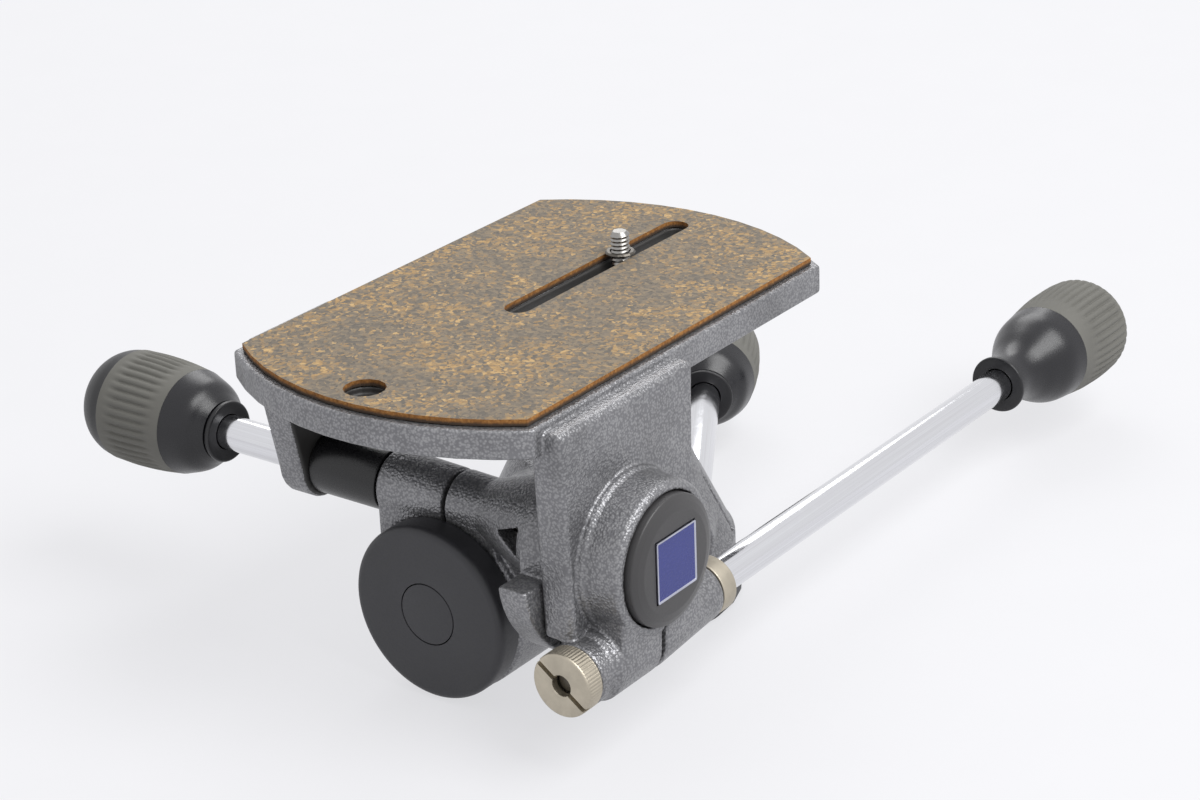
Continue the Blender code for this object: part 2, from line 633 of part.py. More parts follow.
def ring_body(tilt):
    ring = show(turned("ring_body", rounded(RING_RADIUS, RING_BACK, RING_FRONT, EDGE)), GREY_PAINT)
    place(ring, SIDE, ALONG_X, tilt)
    web = box("ring_web", (WEB_FRONT, WEB_RIGHT, WEB_FOOT + SIDE_TILT_HEIGHT),
              (WEB_BACK, WEB_LEFT, TILT_AXIS_Z + EDGE))
    join(ring, web, (0, 0, 0), ALONG_Z, tilt)
    reach = BARREL_FLARE_RADIUS + FINE_EDGE
    outer = [(BARREL_RADIUS - EDGE, BARREL_LEFT), (BARREL_RADIUS, BARREL_LEFT - EDGE),
             (BARREL_WAIST_RADIUS, BARREL_FLARE_START), (BARREL_FLARE_RADIUS, BARREL_FLARE_END),
             (reach, FLANGE_INNER), (FLANGE_RADIUS - FINE_EDGE, FLANGE_INNER),
             (FLANGE_RADIUS, FLANGE_INNER - FINE_EDGE), (FLANGE_RADIUS, FLANGE_OUTER + FINE_EDGE),
             (FLANGE_RADIUS - FINE_EDGE, FLANGE_OUTER)]
    join(ring, turned("barrel", outer), TILT, ALONG_Y, tilt)
    join(ring, flange_sector(), TILT, ALONG_Y, tilt)
    join(ring, gusset(), TILT, ALONG_X, tilt)
    cut_body_bores(ring, tilt)
    return ring


def flange_sector():
    """The lower front sector of the flange, which stands out past its rim."""
    start = math.pi + math.asin(SECTOR_DROP / SECTOR_RADIUS)
    rim = [(x, -z) for x, z in arc(SECTOR_RADIUS, start, SECTOR_END)]
    outline = [(0.0, SECTOR_DROP)] + rim + [(0.0, FLANGE_RADIUS - EDGE)]
    return sheet("flange_sector", outline, FLANGE_OUTER, FLANGE_INNER, FINE_EDGE)


def gusset():
    """The web that ties the ring to the flange under the barrel, drawn as (-z, y) pairs."""
    foot = TILT_RISE - WEB_FOOT
    outline = [(-EDGE, WEB_RIGHT + EDGE), (-EDGE, FLANGE_INNER - EDGE), (foot / 2, FLANGE_INNER - EDGE),
               (foot, WEB_RIGHT + EDGE)]
    return sheet("gusset", outline, GUSSET_FRONT - TILT_AXIS_X, WEB_BACK - TILT_AXIS_X, FINE_EDGE)


def pocket():
    """A three-cornered hollow in the front of the gusset."""
    outline = [(-POCKET_NEAR_TOP, POCKET_NEAR), (-POCKET_FAR_TOP, POCKET_FAR),
               (POCKET_DROP, POCKET_FAR + EDGE)]
    front = GUSSET_FRONT - TILT_AXIS_X
    return sheet("gusset_pocket", outline, front - BARREL_RADIUS, front + POCKET_DEPTH)


def cut_body_bores(ring, tilt):
    liner = SHAFT_RADIUS + FIT + LINER_WALL + FIT
    bore = turned("liner_bore", [(liner, RING_BACK + OVERRUN), (liner, RING_FRONT - OVERRUN)])
    cut(ring, bore, SIDE, ALONG_X, tilt)
    relief = turned("cover_relief", [(COVER_RELIEF_RADIUS, COVER_RELIEF_BACK),
                                     (COVER_RELIEF_RADIUS, COVER_FRONT - OVERRUN)])
    cut(ring, relief, SIDE, ALONG_X, tilt)
    half = BODY_SLIT / 2
    top = TILT_AXIS_Z + BARREL_RADIUS + OVERRUN
    slit = box("body_slit", (COVER_FRONT, BODY_SLIT_Y - half, SIDE_TILT_HEIGHT + BODY_SLIT_FOOT),
               (RING_BACK + OVERRUN, BODY_SLIT_Y + half, top))
    cut(ring, slit, (0, 0, 0), ALONG_Z, tilt)
    cut(ring, pocket(), TILT, ALONG_X, tilt)
    tail = AXLE_TAIL_RADIUS + FIT
    bolt = turned("body_bolt_bore", [(BOLT_BORE, BARREL_LEFT + OVERRUN), (BOLT_BORE, INSERT_NEAR + GAP),
                                     (INSERT_RADIUS + FIT, INSERT_NEAR + GAP),
                                     (INSERT_RADIUS + FIT, AXLE_TAIL_END + GAP),
                                     (tail, AXLE_TAIL_END + GAP), (tail, FLANGE_OUTER - OVERRUN)])
    cut(ring, bolt, TILT, ALONG_Y, tilt)


def body_fittings(tilt):
    inner = SHAFT_RADIUS + FIT
    liner = turned("side_tilt_liner", plain(inner + LINER_WALL, RING_BACK, COVER_RELIEF_BACK + GAP),
                   HIDDEN_FACETS, inner)
    place(show(liner, NYLON), SIDE, ALONG_X, tilt)
    insert = turned("side_clamp_insert", plain(INSERT_RADIUS, INSERT_NEAR, INSERT_FAR), SMALL_FACETS,
                    BOLT_BORE)
    place(show(insert, BRASS), TILT, ALONG_Y, tilt)
    outer = [(AXLE_TAIL_RADIUS - FINE_EDGE, AXLE_TAIL_END), (AXLE_TAIL_RADIUS, AXLE_TAIL_END - FINE_EDGE),
             (AXLE_TAIL_RADIUS, FLANGE_OUTER - GAP), (AXLE_RADIUS, FLANGE_OUTER - GAP),
             (AXLE_RADIUS, AXLE_END + EDGE), (AXLE_RADIUS - EDGE, AXLE_END)]
    place(show(turned("front_tilt_axle", outer, HIDDEN_FACETS), STEEL), TILT, ALONG_Y, tilt)
    low = BARREL_LEFT + GAP
    high = FAR_WING_INNER - GAP
    sleeve = turned("spacer_sleeve", rounded(SLEEVE_RADIUS, high, low), KNOB_FACETS, ROD_RADIUS + FIT)
    place(show(sleeve, BLACK_PLASTIC), TILT, ALONG_Y, tilt)


def platform_casting(platform):
    centre = (PLATFORM_X, 0.0, 0.0)
    outline = cut_circle(PLATE_RADIUS, PLATE_HALF_WIDTH)
    plate = sheet("platform_casting", outline, PLATE_BOTTOM, PLATE_TOP, FINE_EDGE)
    place(show(plate, GREY_PAINT), centre, ALONG_Z, platform)
    inner = cut_circle(PLATE_RADIUS - PLATE_SKIRT, PLATE_HALF_WIDTH - PLATE_SKIRT)
    hollow = sheet("plate_hollow", inner, PLATE_BOTTOM - OVERRUN, PLATE_BOTTOM + PLATE_HOLLOW)
    cut(plate, hollow, centre, ALONG_Z, platform)
    outline = slot_outline(SLOT_START, SLOT_END, SLOT_WIDTH)
    cut(plate, sheet("plate_slot", outline, PLATE_BOTTOM, PLATE_TOP + OVERRUN), centre, ALONG_Z, platform)
    recess = plain(PIN_HOLE_RADIUS, PLATE_TOP + OVERRUN, PLATE_TOP - PIN_HOLE_DEPTH)
    pin = turned("pin_recess", recess, SMALL_FACETS)
    cut(plate, pin, (PLATFORM_X + PIN_HOLE_X, 0.0, 0.0), ALONG_Z, platform)
    add_wings(plate, platform)
    add_hub(plate, platform)
    cut_hub(plate, platform)
    return plate


def wing(name, outline, low, high):
    """A wing from its (x, z) outline about the tilt axis, thick between two Y positions."""
    return sheet(name, [(x, -z) for x, z in outline], low, high, EDGE)


def add_wings(plate, platform):
    top = PLATE_RISE - LEDGE_DROP
    near = [(NEAR_WING_FRONT_TOP, top), (NEAR_WING_FRONT_FOOT, NEAR_WING_FOOT),
            (NEAR_WING_BACK_FOOT - LUG_NECK, NEAR_WING_FOOT), (NEAR_WING_BACK_FOOT, NEAR_WING_BACK_CORNER),
            (NEAR_WING_BACK_TOP, top)]
    join(plate, wing("near_wing", near, -WING_OUTER, -WING_INNER), TILT, ALONG_Y, platform)
    tongue = arc(FAR_WING_RADIUS, math.pi, 2 * math.pi)
    far = [(FAR_WING_FRONT_TOP, top)] + tongue + [(FAR_WING_BACK_TOP, top)]
    join(plate, wing("far_wing", far, FAR_WING_INNER, FAR_WING_OUTER), TILT, ALONG_Y, platform)


def add_hub(plate, platform):
    inner = -WING_INNER - EDGE
    lip = -WING_OUTER - HUB_LIP
    outer = [(HUB_RADIUS, inner), (HUB_RADIUS, lip + FINE_EDGE), (HUB_RADIUS - FINE_EDGE, lip),
             (HUB_WAIST_RADIUS, lip - FINE_EDGE), (HUB_FRONT_RADIUS, HUB_ROUND - HUB_FRONT)]
    for angle in (30, 60, 90):
        bend = math.radians(angle)
        outer.append((HUB_FRONT_RADIUS - HUB_ROUND * (1 - math.cos(bend)),
                      HUB_ROUND * (1 - math.sin(bend)) - HUB_FRONT))
    join(plate, turned("hub", outer), TILT, ALONG_Y, platform)
    neck_end = LUG_FRONT + LUG_NECK
    outer = [(LUG_BACK_RADIUS - FINE_EDGE, LUG_BACK), (LUG_BACK_RADIUS, LUG_BACK - FINE_EDGE),
             (LUG_RADIUS, LUG_TAPER_START), (LUG_RADIUS, neck_end),
             (LUG_NECK_RADIUS, neck_end - EDGE), (LUG_NECK_RADIUS, LUG_FRONT + FINE_EDGE),
             (LUG_NECK_RADIUS - FINE_EDGE, LUG_FRONT)]
    join(plate, turned("clamp_lug", outer), LUG_SPOT, ALONG_X, platform)
    half = LUG_BLOCK_HALF
    outline = [(-half, -LUG_AXIS_DROP), (half, -LUG_AXIS_DROP), (half, 0.0), (-half, 0.0)]
    block = wing("lug_block", outline, LUG_AXIS_Y - LUG_RADIUS, -WING_INNER - EDGE)
    join(plate, block, TILT, ALONG_Y, platform)


def cut_hub(plate, platform):
    seat = AXLE_RADIUS + FIT
    bore = turned("hub_bore", [(seat, OVERRUN - WING_INNER), (seat, -HUB_WELL_FLOOR),
                               (HUB_WELL_RADIUS, -HUB_WELL_FLOOR), (HUB_WELL_RADIUS, -HUB_FRONT - OVERRUN)])
    cut(plate, bore, TILT, ALONG_Y, platform)
    bolt = turned("lug_bore", plain(BOLT_BORE, LUG_BACK + OVERRUN, LUG_FRONT - OVERRUN), SMALL_FACETS)
    cut(plate, bolt, LUG_SPOT, ALONG_X, platform)
    half = HUB_SLIT / 2
    foot = LUG_AXIS_Z - LUG_RADIUS - OVERRUN
    slit = box("hub_slit", (TILT_AXIS_X - half, -HUB_FRONT - OVERRUN, foot),
               (TILT_AXIS_X + half, OVERRUN - WING_INNER, TILT_AXIS_Z - HUB_SLIT_HEAD))
    cut(plate, slit, (0, 0, 0), ALONG_Z, platform)
    room = ROD_RADIUS + FIT + PIVOT_BUSH_WALL + FIT
    pivot = turned("pivot_bore", plain(room, FAR_WING_OUTER + OVERRUN, FAR_WING_INNER - OVERRUN))
    cut(plate, pivot, TILT, ALONG_Y, platform)


def platform_fittings(platform):
    centre = (PLATFORM_X, 0.0, 0.0)
    cork = sheet("cork_pad", cut_circle(CORK_RADIUS, CORK_HALF_WIDTH), PLATE_TOP + GAP, CORK_TOP)
    place(show(cork, CORK), centre, ALONG_Z, platform)
    outline = slot_outline(SLOT_START, SLOT_END, CORK_SLOT_WIDTH)
    slot = sheet("cork_slot", outline, PLATE_TOP - OVERRUN, CORK_TOP + OVERRUN)
    cut(cork, slot, centre, ALONG_Z, platform)
    pin = turned("pin_hole", plain(PIN_HOLE_RADIUS, CORK_TOP + OVERRUN, PLATE_TOP - OVERRUN), SMALL_FACETS)
    cut(cork, pin, (PLATFORM_X + PIN_HOLE_X, 0.0, 0.0), ALONG_Z, platform)
    hub_cap(platform)
    inner = ROD_RADIUS + FIT
    outer = plain(inner + PIVOT_BUSH_WALL, FAR_WING_OUTER, FAR_WING_INNER)
    bush = turned("far_pivot_bush", outer, HIDDEN_FACETS, inner)
    place(show(bush, NYLON), TILT, ALONG_Y, platform)
    clamp_hardware(platform)


def hub_cap(platform):
    floor = -HUB_WELL_FLOOR - GAP
    face = -HUB_FRONT - HUB_CAP_RIM
    crown = face - HUB_CAP_CROWN
    outer = [(HUB_CAP_RADIUS, floor), (HUB_CAP_RADIUS, face + FINE_EDGE + FINE_EDGE),
             (HUB_CAP_RADIUS - FINE_EDGE, face), (HUB_CAP_RADIUS - HUB_CAP_RIM, crown + FINE_EDGE),
             (HUB_CAP_RADIUS - HUB_CAP_RIM - HUB_CAP_RIM, crown)]
    cap = show(turned("hub_cap", outer), BLACK_PLASTIC)
    place(cap, TILT, ALONG_Y, platform)
    room = BADGE_SIDE / 2 + FIT
    square = ((-room, -room), (room, -room), (room, room), (-room, room))
    floor = crown + BADGE_RECESS
    cut(cap, sheet("badge_recess", square, crown - OVERRUN, floor), TILT, ALONG_Y, platform)
    half = BADGE_SIDE / 2
    square = ((-half, -half), (half, -half), (half, half), (-half, half))
    high = floor - GAP
    badge = sheet("blank_badge", square, high - BADGE_THICKNESS, high)
    place(show(badge, BLUE_PLATE), TILT, ALONG_Y, platform)


def clamp_hardware(platform):
    high = LUG_FRONT - GAP
    low = high - NUT_THICKNESS
    outer = [(NUT_RADIUS, high), (NUT_RADIUS, low + NUT_CHAMFER), (NUT_RADIUS - NUT_CHAMFER, low)]
    nut = show(turned("slotted_nut", outer, FACETS, BOLT_BORE), BEIGE_METAL)
    place(nut, LUG_SPOT, ALONG_X, platform)
    reach = NUT_RADIUS + OVERRUN
    half = NUT_SLOT / 2
    slot = box("nut_slot", (-half, -reach, low - OVERRUN), (half, reach, low + NUT_SLOT_DEPTH))
    cut(nut, slot, LUG_SPOT, ALONG_X @ Matrix.Rotation(NUT_SLOT_TURN, 3, "Z"), platform)
    low = LUG_BACK + GAP
    outer = rounded(WASHER_RADIUS, low + WASHER_THICKNESS, low)
    washer = turned("clamp_washer", outer, HIDDEN_FACETS, BOLT_BORE)
    place(show(washer, BEIGE_METAL), LUG_SPOT, ALONG_X, platform)


def scaled(shares, length, radius, start):
    """Rows of (radius, height) from shares, listed from the far end back to the start."""
    rows = [(radius * wide, start + length * along) for along, wide in shares]
    return list(reversed(rows))


def handle(number, carrier, seat, turn, face, shank, form):
    """One clamp handle. Its local Z runs out from the seat along the rod to the knob's face."""
    pivot = empty("clamp_handle_%d" % number, seat, carrier)
    bore = ROD_RADIUS + FIT
    rod_end = face + KNOB_COLLAR + KNOB_ROD_DEPTH
    outer = [(ROD_RADIUS - FINE_EDGE, rod_end), (ROD_RADIUS, rod_end - FINE_EDGE), (ROD_RADIUS, FINE_EDGE),
             (ROD_RADIUS - FINE_EDGE, 0.0), (SHANK_RADIUS, 0.0), (SHANK_RADIUS, FINE_EDGE - shank),
             (SHANK_RADIUS - FINE_EDGE, -shank)]
    place(show(turned("handle_rod_%d" % number, outer, SMALL_FACETS), CHROME), seat, turn, pivot)
    outer = [(KNOB_COLLAR_NECK, face + KNOB_COLLAR - GAP), (KNOB_COLLAR_RADIUS, face + FINE_EDGE),
             (KNOB_COLLAR_RADIUS - FINE_EDGE, face)]
    collar = turned("knob_collar_%d" % number, outer, HIDDEN_FACETS, bore)
    place(show(collar, BLACK_PLASTIC), seat, turn, pivot)
    knob(number, seat, turn, pivot, face + KNOB_COLLAR, form)


def knob(number, seat, turn, pivot, start, form):
    """A moulded core, the rubber grip that is sleeved on it, and the dome that closes its end."""
    neck, neck_shares, grip_length, grip_shares, dome_length, dome_shares = form
    bore = ROD_RADIUS + FIT
    grip_low = start + neck
    grip_high = grip_low + grip_length
    core_top = grip_high - GAP
    profile = [(KNOB_CORE_RADIUS, core_top), (KNOB_CORE_RADIUS, grip_low)]
    profile += scaled(neck_shares, neck, KNOB_RADIUS, start)
    body = show(turned("knob_body_%d" % number, profile, KNOB_FACETS), BLACK_PLASTIC)
    place(body, seat, turn, pivot)
    hole = plain(bore, start + KNOB_ROD_DEPTH + GAP, start - OVERRUN)
    cut(body, turned("knob_bore_%d" % number, hole, SMALL_FACETS), seat, turn, pivot)
    outer = scaled(grip_shares, grip_length - GAP, KNOB_RADIUS, grip_low + GAP)
    grip = turned("knob_grip_%d" % number, outer, KNOB_FACETS, KNOB_CORE_RADIUS + FIT)
    place(show(grip, GREY_RUBBER), seat, turn, pivot)
    outer = scaled(dome_shares, dome_length, KNOB_RADIUS, grip_high + GAP)
    dome = turned("knob_cap_%d" % number, outer[1:], KNOB_FACETS)
    dome.data.vertices[0].co.z = outer[0][1]
    place(show(dome, BLACK_PLASTIC), seat, turn, pivot)


def camera_screw(platform):
    spot = Vector((PLATFORM_X + CAMERA_SCREW_X, 0.0, 0.0))
    floor = PLATE_BOTTOM + PLATE_HOLLOW
    slider = empty("screw_slider", spot + Vector((0.0, 0.0, floor)), platform)
    bore = CAMERA_SCREW_RADIUS + FIT
    carrier_high = floor - GAP
    carrier_low = carrier_high - CARRIER_THICKNESS
    carrier = turned("screw_carrier", plain(CARRIER_RADIUS, carrier_high, carrier_low), HIDDEN_FACETS, bore)
    place(show(carrier, ALUMINIUM), spot, ALONG_Z, slider)
    keeper_low = CORK_TOP + GAP
    keeper = turned("screw_keeper", rounded(KEEPER_RADIUS, keeper_low + KEEPER_THICKNESS, keeper_low),
                    SMALL_FACETS, bore)
    place(show(keeper, STEEL), spot, ALONG_Z, slider)
    stud = empty("camera_screw_turn", spot + Vector((0.0, 0.0, floor)), slider)
    top = CORK_TOP + CAMERA_SCREW_RISE
    knob_high = carrier_low - GAP
    knob_low = knob_high - SCREW_KNOB_THICKNESS
    radius = CAMERA_SCREW_RADIUS
    outer = [(radius - CAMERA_SCREW_ROUND, top), (radius, top - CAMERA_SCREW_ROUND),
             (radius, knob_low + GAP + FINE_EDGE), (radius - FINE_EDGE, knob_low + GAP)]
    place(show(turned("camera_screw", outer, SMALL_FACETS), STEEL), spot, ALONG_Z, stud)
    outer = rounded(SCREW_KNOB_RADIUS, knob_high, knob_low, EDGE)
    grip = turned("camera_screw_knob", outer, HIDDEN_FACETS, bore)
    place(show(grip, BLACK_PLASTIC), spot, ALONG_Z, stud)


def stand_on_origin(root):
    """Moves the head so that the middle of its underside is at the origin."""
    bpy.context.view_layer.update()
    graph = bpy.context.evaluated_depsgraph_get()
    low = [math.inf] * 3
    high = [-math.inf] * 3
    for obj in PARTS.objects:
        if obj.type != "MESH":
            continue
        ready = obj.evaluated_get(graph)
        for corner in ready.bound_box:
            point = ready.matrix_world @ Vector(corner)
            low = [min(a, b) for a, b in zip(low, point)]
            high = [max(a, b) for a, b in zip(high, point)]
    root.location = (-(low[0] + high[0]) / 2, -(low[1] + high[1]) / 2, -low[2])


def shade_round():
    for obj in PARTS.objects:
        if obj.type != "MESH":
            continue
        smooth = obj.modifiers.new("Shade", "WEIGHTED_NORMAL")
        smooth.keep_sharp = True
        for screw in obj.modifiers:
            if screw.type == "SCREW":
                screw.use_smooth_shade = True


def main():
    clear_scene()
    root = empty("head_base", (0.0, 0.0, 0.0))
    fixed_base(root)
    pan = empty("pan_axis", (0.0, 0.0, BASE_THICKNESS), root)
    pan_casting(pan)
    side_tilt_shaft(pan)
    tilt = empty("side_tilt_axis", (TILT_AXIS_X, 0.0, SIDE_TILT_HEIGHT), pan)
    ring_body(tilt)
    body_fittings(tilt)
    platform = empty("front_tilt_axis", TILT, tilt)
    platform_casting(platform)
    platform_fittings(platform)
    handle(1, platform, LONG_SEAT_POINT, ALONG_X, LONG_ROD, LONG_SHANK, LONG_FORM)
    rod = SHORT_ROD_OUT - SHORT_SEAT_POINT.y
    shank = SHORT_SEAT_POINT.y - SHORT_SHANK_END
    handle(2, tilt, SHORT_SEAT_POINT, ALONG_Y, rod, shank, SHORT_FORM)
    line = Matrix.Rotation(PAN_HANDLE_TURN, 3, "Z") @ ALONG_X
    seat = PAN_SEAT_POINT + PAN_LINE * GAP
    handle(3, pan, seat, line, PAN_ROD, PAN_SHANK, SHORT_FORM)
    camera_screw(platform)
    shade_round()
    stand_on_origin(root)


main()
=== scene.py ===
import math

import bmesh
import bpy
import numpy as np
from mathutils import Matrix, Vector


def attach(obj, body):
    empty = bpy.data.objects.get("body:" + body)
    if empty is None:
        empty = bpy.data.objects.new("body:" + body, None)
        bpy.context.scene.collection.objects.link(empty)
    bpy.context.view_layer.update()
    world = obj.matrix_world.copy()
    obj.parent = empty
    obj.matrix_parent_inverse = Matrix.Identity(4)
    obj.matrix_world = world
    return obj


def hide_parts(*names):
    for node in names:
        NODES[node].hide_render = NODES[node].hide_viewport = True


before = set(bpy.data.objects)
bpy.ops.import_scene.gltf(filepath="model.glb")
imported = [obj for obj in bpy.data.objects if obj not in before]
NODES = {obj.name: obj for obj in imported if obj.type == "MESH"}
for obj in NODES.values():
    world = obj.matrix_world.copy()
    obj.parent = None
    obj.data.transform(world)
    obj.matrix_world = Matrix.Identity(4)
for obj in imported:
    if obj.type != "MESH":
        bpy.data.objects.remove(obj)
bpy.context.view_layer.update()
SCENE = bpy.context.scene
MM = 0.001

# The camera stands where the photograph was taken from, in metres; its lens is in millimetres.
CAMERA_AT = (-0.71189, -0.53391, 0.42564)
CAMERA_AZIMUTH = math.radians(-53.021)
CAMERA_ELEVATION = math.radians(23.486)
CAMERA_ROLL = math.radians(-2.213)
CAMERA_LENS = 87.158
CAMERA_SENSOR = 36.0
CAMERA_NEAR = 0.01
CAMERA_FAR = 20.0

# The lamps, each with its place, what it is aimed at, its side and its power; then the world's
# light on the object, the tones that are seen behind it, and the floor. Lengths are in metres.
LAMPS = (
    ("key", (-0.02, -1.05, 1.35), (0, 0, 0.03), 1.1, 23.0),
    ("back", (0.9, 0.7, 1.1), (0, 0, 0.05), 0.9, 8.0),
)
WORLD_STRENGTH = 0.47
WORLD_SEEN = (246, 246, 248)
FLOOR_HALF = 2.6
FLOOR_SINK = 0.0002
FLOOR_DARK = (225, 225, 228)
FLOOR_PALE = (227, 227, 230)
FLOOR_GLOW = (247, 247, 250)
FLOOR_LIFT = 0.7

# Axes of the turned pieces: a local Z that runs along X, along Y or up.
ALONG_X = Matrix.Rotation(math.radians(90), 3, "Y")
ALONG_Y = Matrix.Rotation(math.radians(-90), 3, "X")
ALONG_Z = Matrix.Identity(3)

# Where the pieces are measured from, in millimetres. The third handle's seat lies on a line.
COVER_ORIGIN = (0.0, -33.84, 28.4)
TILT_ORIGIN = (-118.43, 0.0, 58.9)
LUG_ORIGIN = (0.0, -95.84, 30.9)
STUD_ORIGIN = (-34.43, -33.84, 0.0)
LONG_SEAT = (-77.73, -95.84, 30.9)
SHORT_SEAT = (-118.43, -8.84, 58.9)
PAN_FOOT = (-33.76, -57.69, 26.5)
PAN_LINE = (0.8517, 0.5240, 0.0)
PAN_SEAT = 8.3

# Turned pieces: how far their edges are rounded, in millimetres, and in how many steps.
FINE_ROUND = 0.3
EDGE_ROUND = 0.5
SEAT_ROUND = 0.6
SOFT_ROUND = 0.8
ROUND_STEPS = 5
FINE_STEPS = 6
COVER_STEPS = 8
ON_AXIS = 1e-4
SAME_RADIUS = 0.01
TOOL_REACH = 1

# Handles, in millimetres.
ROD_RADIUS = 5.5
SHANK_RADIUS = 3.4
CHROME_START = -1.0
COLLAR_BORE = 5.7
COLLAR_FRONT = 9.9
COLLAR_BACK = 9.7
COLLAR_NECK = 8.7
COLLAR_BORE_ROUND = 0.2
COLLAR_STEP = 0.3
COLLAR_CHAMFER = 0.5
KNOB_RADIUS = 18.2
KNOB_CORE = 11.5
KNOB_BORE = 5.8
KNOB_BORE_DEPTH = 12.3
KNOB_SIDES = 112
CORE_STEP = 0.28
NECK_GAP = 0.3
GRIP_PLAY = 0.3
GRIP_LAP = 0.22
GRIP_RIBS = 40
RIB_SIDES = 7
RIB_DEPTH = 0.8
RIB_START = 1
RIB_RISE_SHARES = (0.06, 0.3)
RIB_FALL_SHARES = (0.72, 0.95)
GRIP_STEPS = 60
DOME_STEPS = 40
DOME_LAP = 0.25

# Knob outlines: (share of the length, share of KNOB_RADIUS).
LONG_NECK = ((0.0, 0.47), (0.2, 0.46), (0.38, 0.55), (0.56, 0.72), (0.76, 0.87), (1.0, 0.925))
SHORT_NECK = ((0.0, 0.52), (0.16, 0.62), (0.45, 0.79), (1.0, 0.925))
LONG_GRIP = ((0.0, 0.925), (0.24, 0.98), (0.47, 1.0), (0.73, 0.985), (0.86, 0.93), (1.0, 0.75))
SHORT_GRIP = ((0.0, 0.925), (0.3, 0.975), (0.62, 1.0), (1.0, 0.985))
LONG_DOME = ((0.0, 0.74), (0.4, 0.62), (0.8, 0.38), (1.0, 0.0))
SHORT_DOME = ((0.0, 0.98), (0.25, 0.94), (0.5, 0.84), (0.72, 0.67), (0.9, 0.42), (1.0, 0.0))

# Front cover, its plug, the spacer sleeve, the hub cap and its plate, in millimetres.
COVER_RADIUS = 27.7
COVER_ROUND = 2.6
COVER_SIDES = 160
COVER_HOLE = 3.3
COVER_WALL = 2.8
SCREW_WELL = 5.8
PLUG_WELL = 9.9
PLUG_WELL_DEPTH = 3.0
WELL_ROUND = 0.25
PLUG_RADIUS = 9.62
PLUG_SIDES = 120
SLEEVE_BORE = 5.8
SLEEVE_RADIUS = 9.7
CAP_FACE = 15.4
CAP_SLOPE = 17.6
CAP_RADIUS = 19.6
CAP_FACE_ROUND = 3.0
CAP_SLOPE_ROUND = 0.7
CAP_SLOPE_STEP = 0.6
CAP_RIM_STEP = 1.5
CAP_SIDES = 144
RECESS_HALF = 9.8
RECESS_DEPTH = 0.8
BADGE_HALF = 9.5
BADGE_CORNER = 0.7
BADGE_CORNER_STEPS = 4
BADGE_BORDER = 0.55
BADGE_STEP = 0.12
BADGE_SINK = -0.16

# Slotted nut, washer and camera screw, in millimetres.
BOLT_BORE = 3.7
NUT_RADIUS = 9.8
NUT_HOLE = 3.2
NUT_ROUND = 1.0
NUT_HOLE_END = 2.4
NUT_BORE_START = 2.9
NUT_RIBS = 60
NUT_RIB_SIDES = 6
NUT_RIB_DEPTH = 0.16
KNURL_BAND = 0.5
KNURL_FRONT = 0.7
KNURL_BACK = 0.4
KNURL_RINGS_FRONT = 1.3
KNURL_RINGS_BACK = 0.8
NUT_SLOT = 1.6
NUT_SLOT_DEPTH = 2.2
NUT_SLOT_REACH = 12
NUT_SLOT_TURN = math.radians(36)
WASHER_RADIUS = 8.8
STUD_RADIUS = 3.05
STUD_SIDES = 48
STUD_CHAMFER = 0.4
STUD_PLAIN = 1.2
STUD_TIP = 1.0
THREAD_PITCH = 1.27
THREAD_STEPS = 10
THREAD_DEPTH = 0.42
THREAD_FULLNESS = 0.8

# Castings and cork, in millimetres: the remesh, and where painted shade goes on the platform's
# walls.
CAST_VOXEL = 0.38
CAST_ROUNDS = 12
CAST_SMOOTH = 0.5
CAST_SHARE = 0.18
PLATFORM_Y = -33.84
PLATE_LOW = 97.6
PLATE_HIGH = 106.5
SLOT_NEAR = -86.93
SLOT_FAR = -3.93
SLOT_HALF = 4.2
PIN_X = -156.43
PIN_HALF = 6.7
PIN_FLOOR = 103.4
WING_INSIDE = 17.16
WING_SLACK = 0.7
FACING = 0.6
CORK_BEVEL = 0.5
CORK_SHARP = 1.0
CORK_FLAT = 0.97

# The turned walls of the castings, to which the CAD gives FLATS flats each: where the axis starts,
# the way it runs, and (radius, along) points in millimetres. A point of the mesh is on the wall if
# it is nearer than ON_WALL, and off it beyond OFF_WALL. PAST_WALL is a radius that none has.
FLATS = 28
ON_WALL = 0.35
OFF_WALL = 0.9
PAST_WALL = -100.0
PAN_AXIS = (-48.43, -33.84, 0.0)
SIDE_AXIS = (-48.43, -33.84, 28.4)
TILT_AXIS = (-118.43, -33.84, 58.9)
TURNED_WALLS = {
    "pan_casting": (
        (PAN_AXIS, ALONG_Z, ((41.8, 5.7), (41.8, 20.1), (40.2, 21.7), (27.4, 50.0))),
        (SIDE_AXIS, ALONG_X, ((22.6, -49.6), (22.6, -20.0))),
    ),
    "ring_body": (
        (SIDE_AXIS, ALONG_X, ((28.0, -79.0), (28.0, -50.0))),
        (TILT_AXIS, ALONG_Y, ((23.4, -49.6), (23.4, -39.8))),
        (TILT_AXIS, ALONG_Y, ((18.0, -38.0), (9.2, -13.0), (10.2, 24.7))),
    ),
    "platform_casting": (
        (TILT_AXIS, ALONG_Y, ((23.0, -74.2), (23.6, -64.8), (24.5, -63.0), (24.5, -60.8))),
    ),
}


def metres(point):
    return tuple(v * MM for v in point)


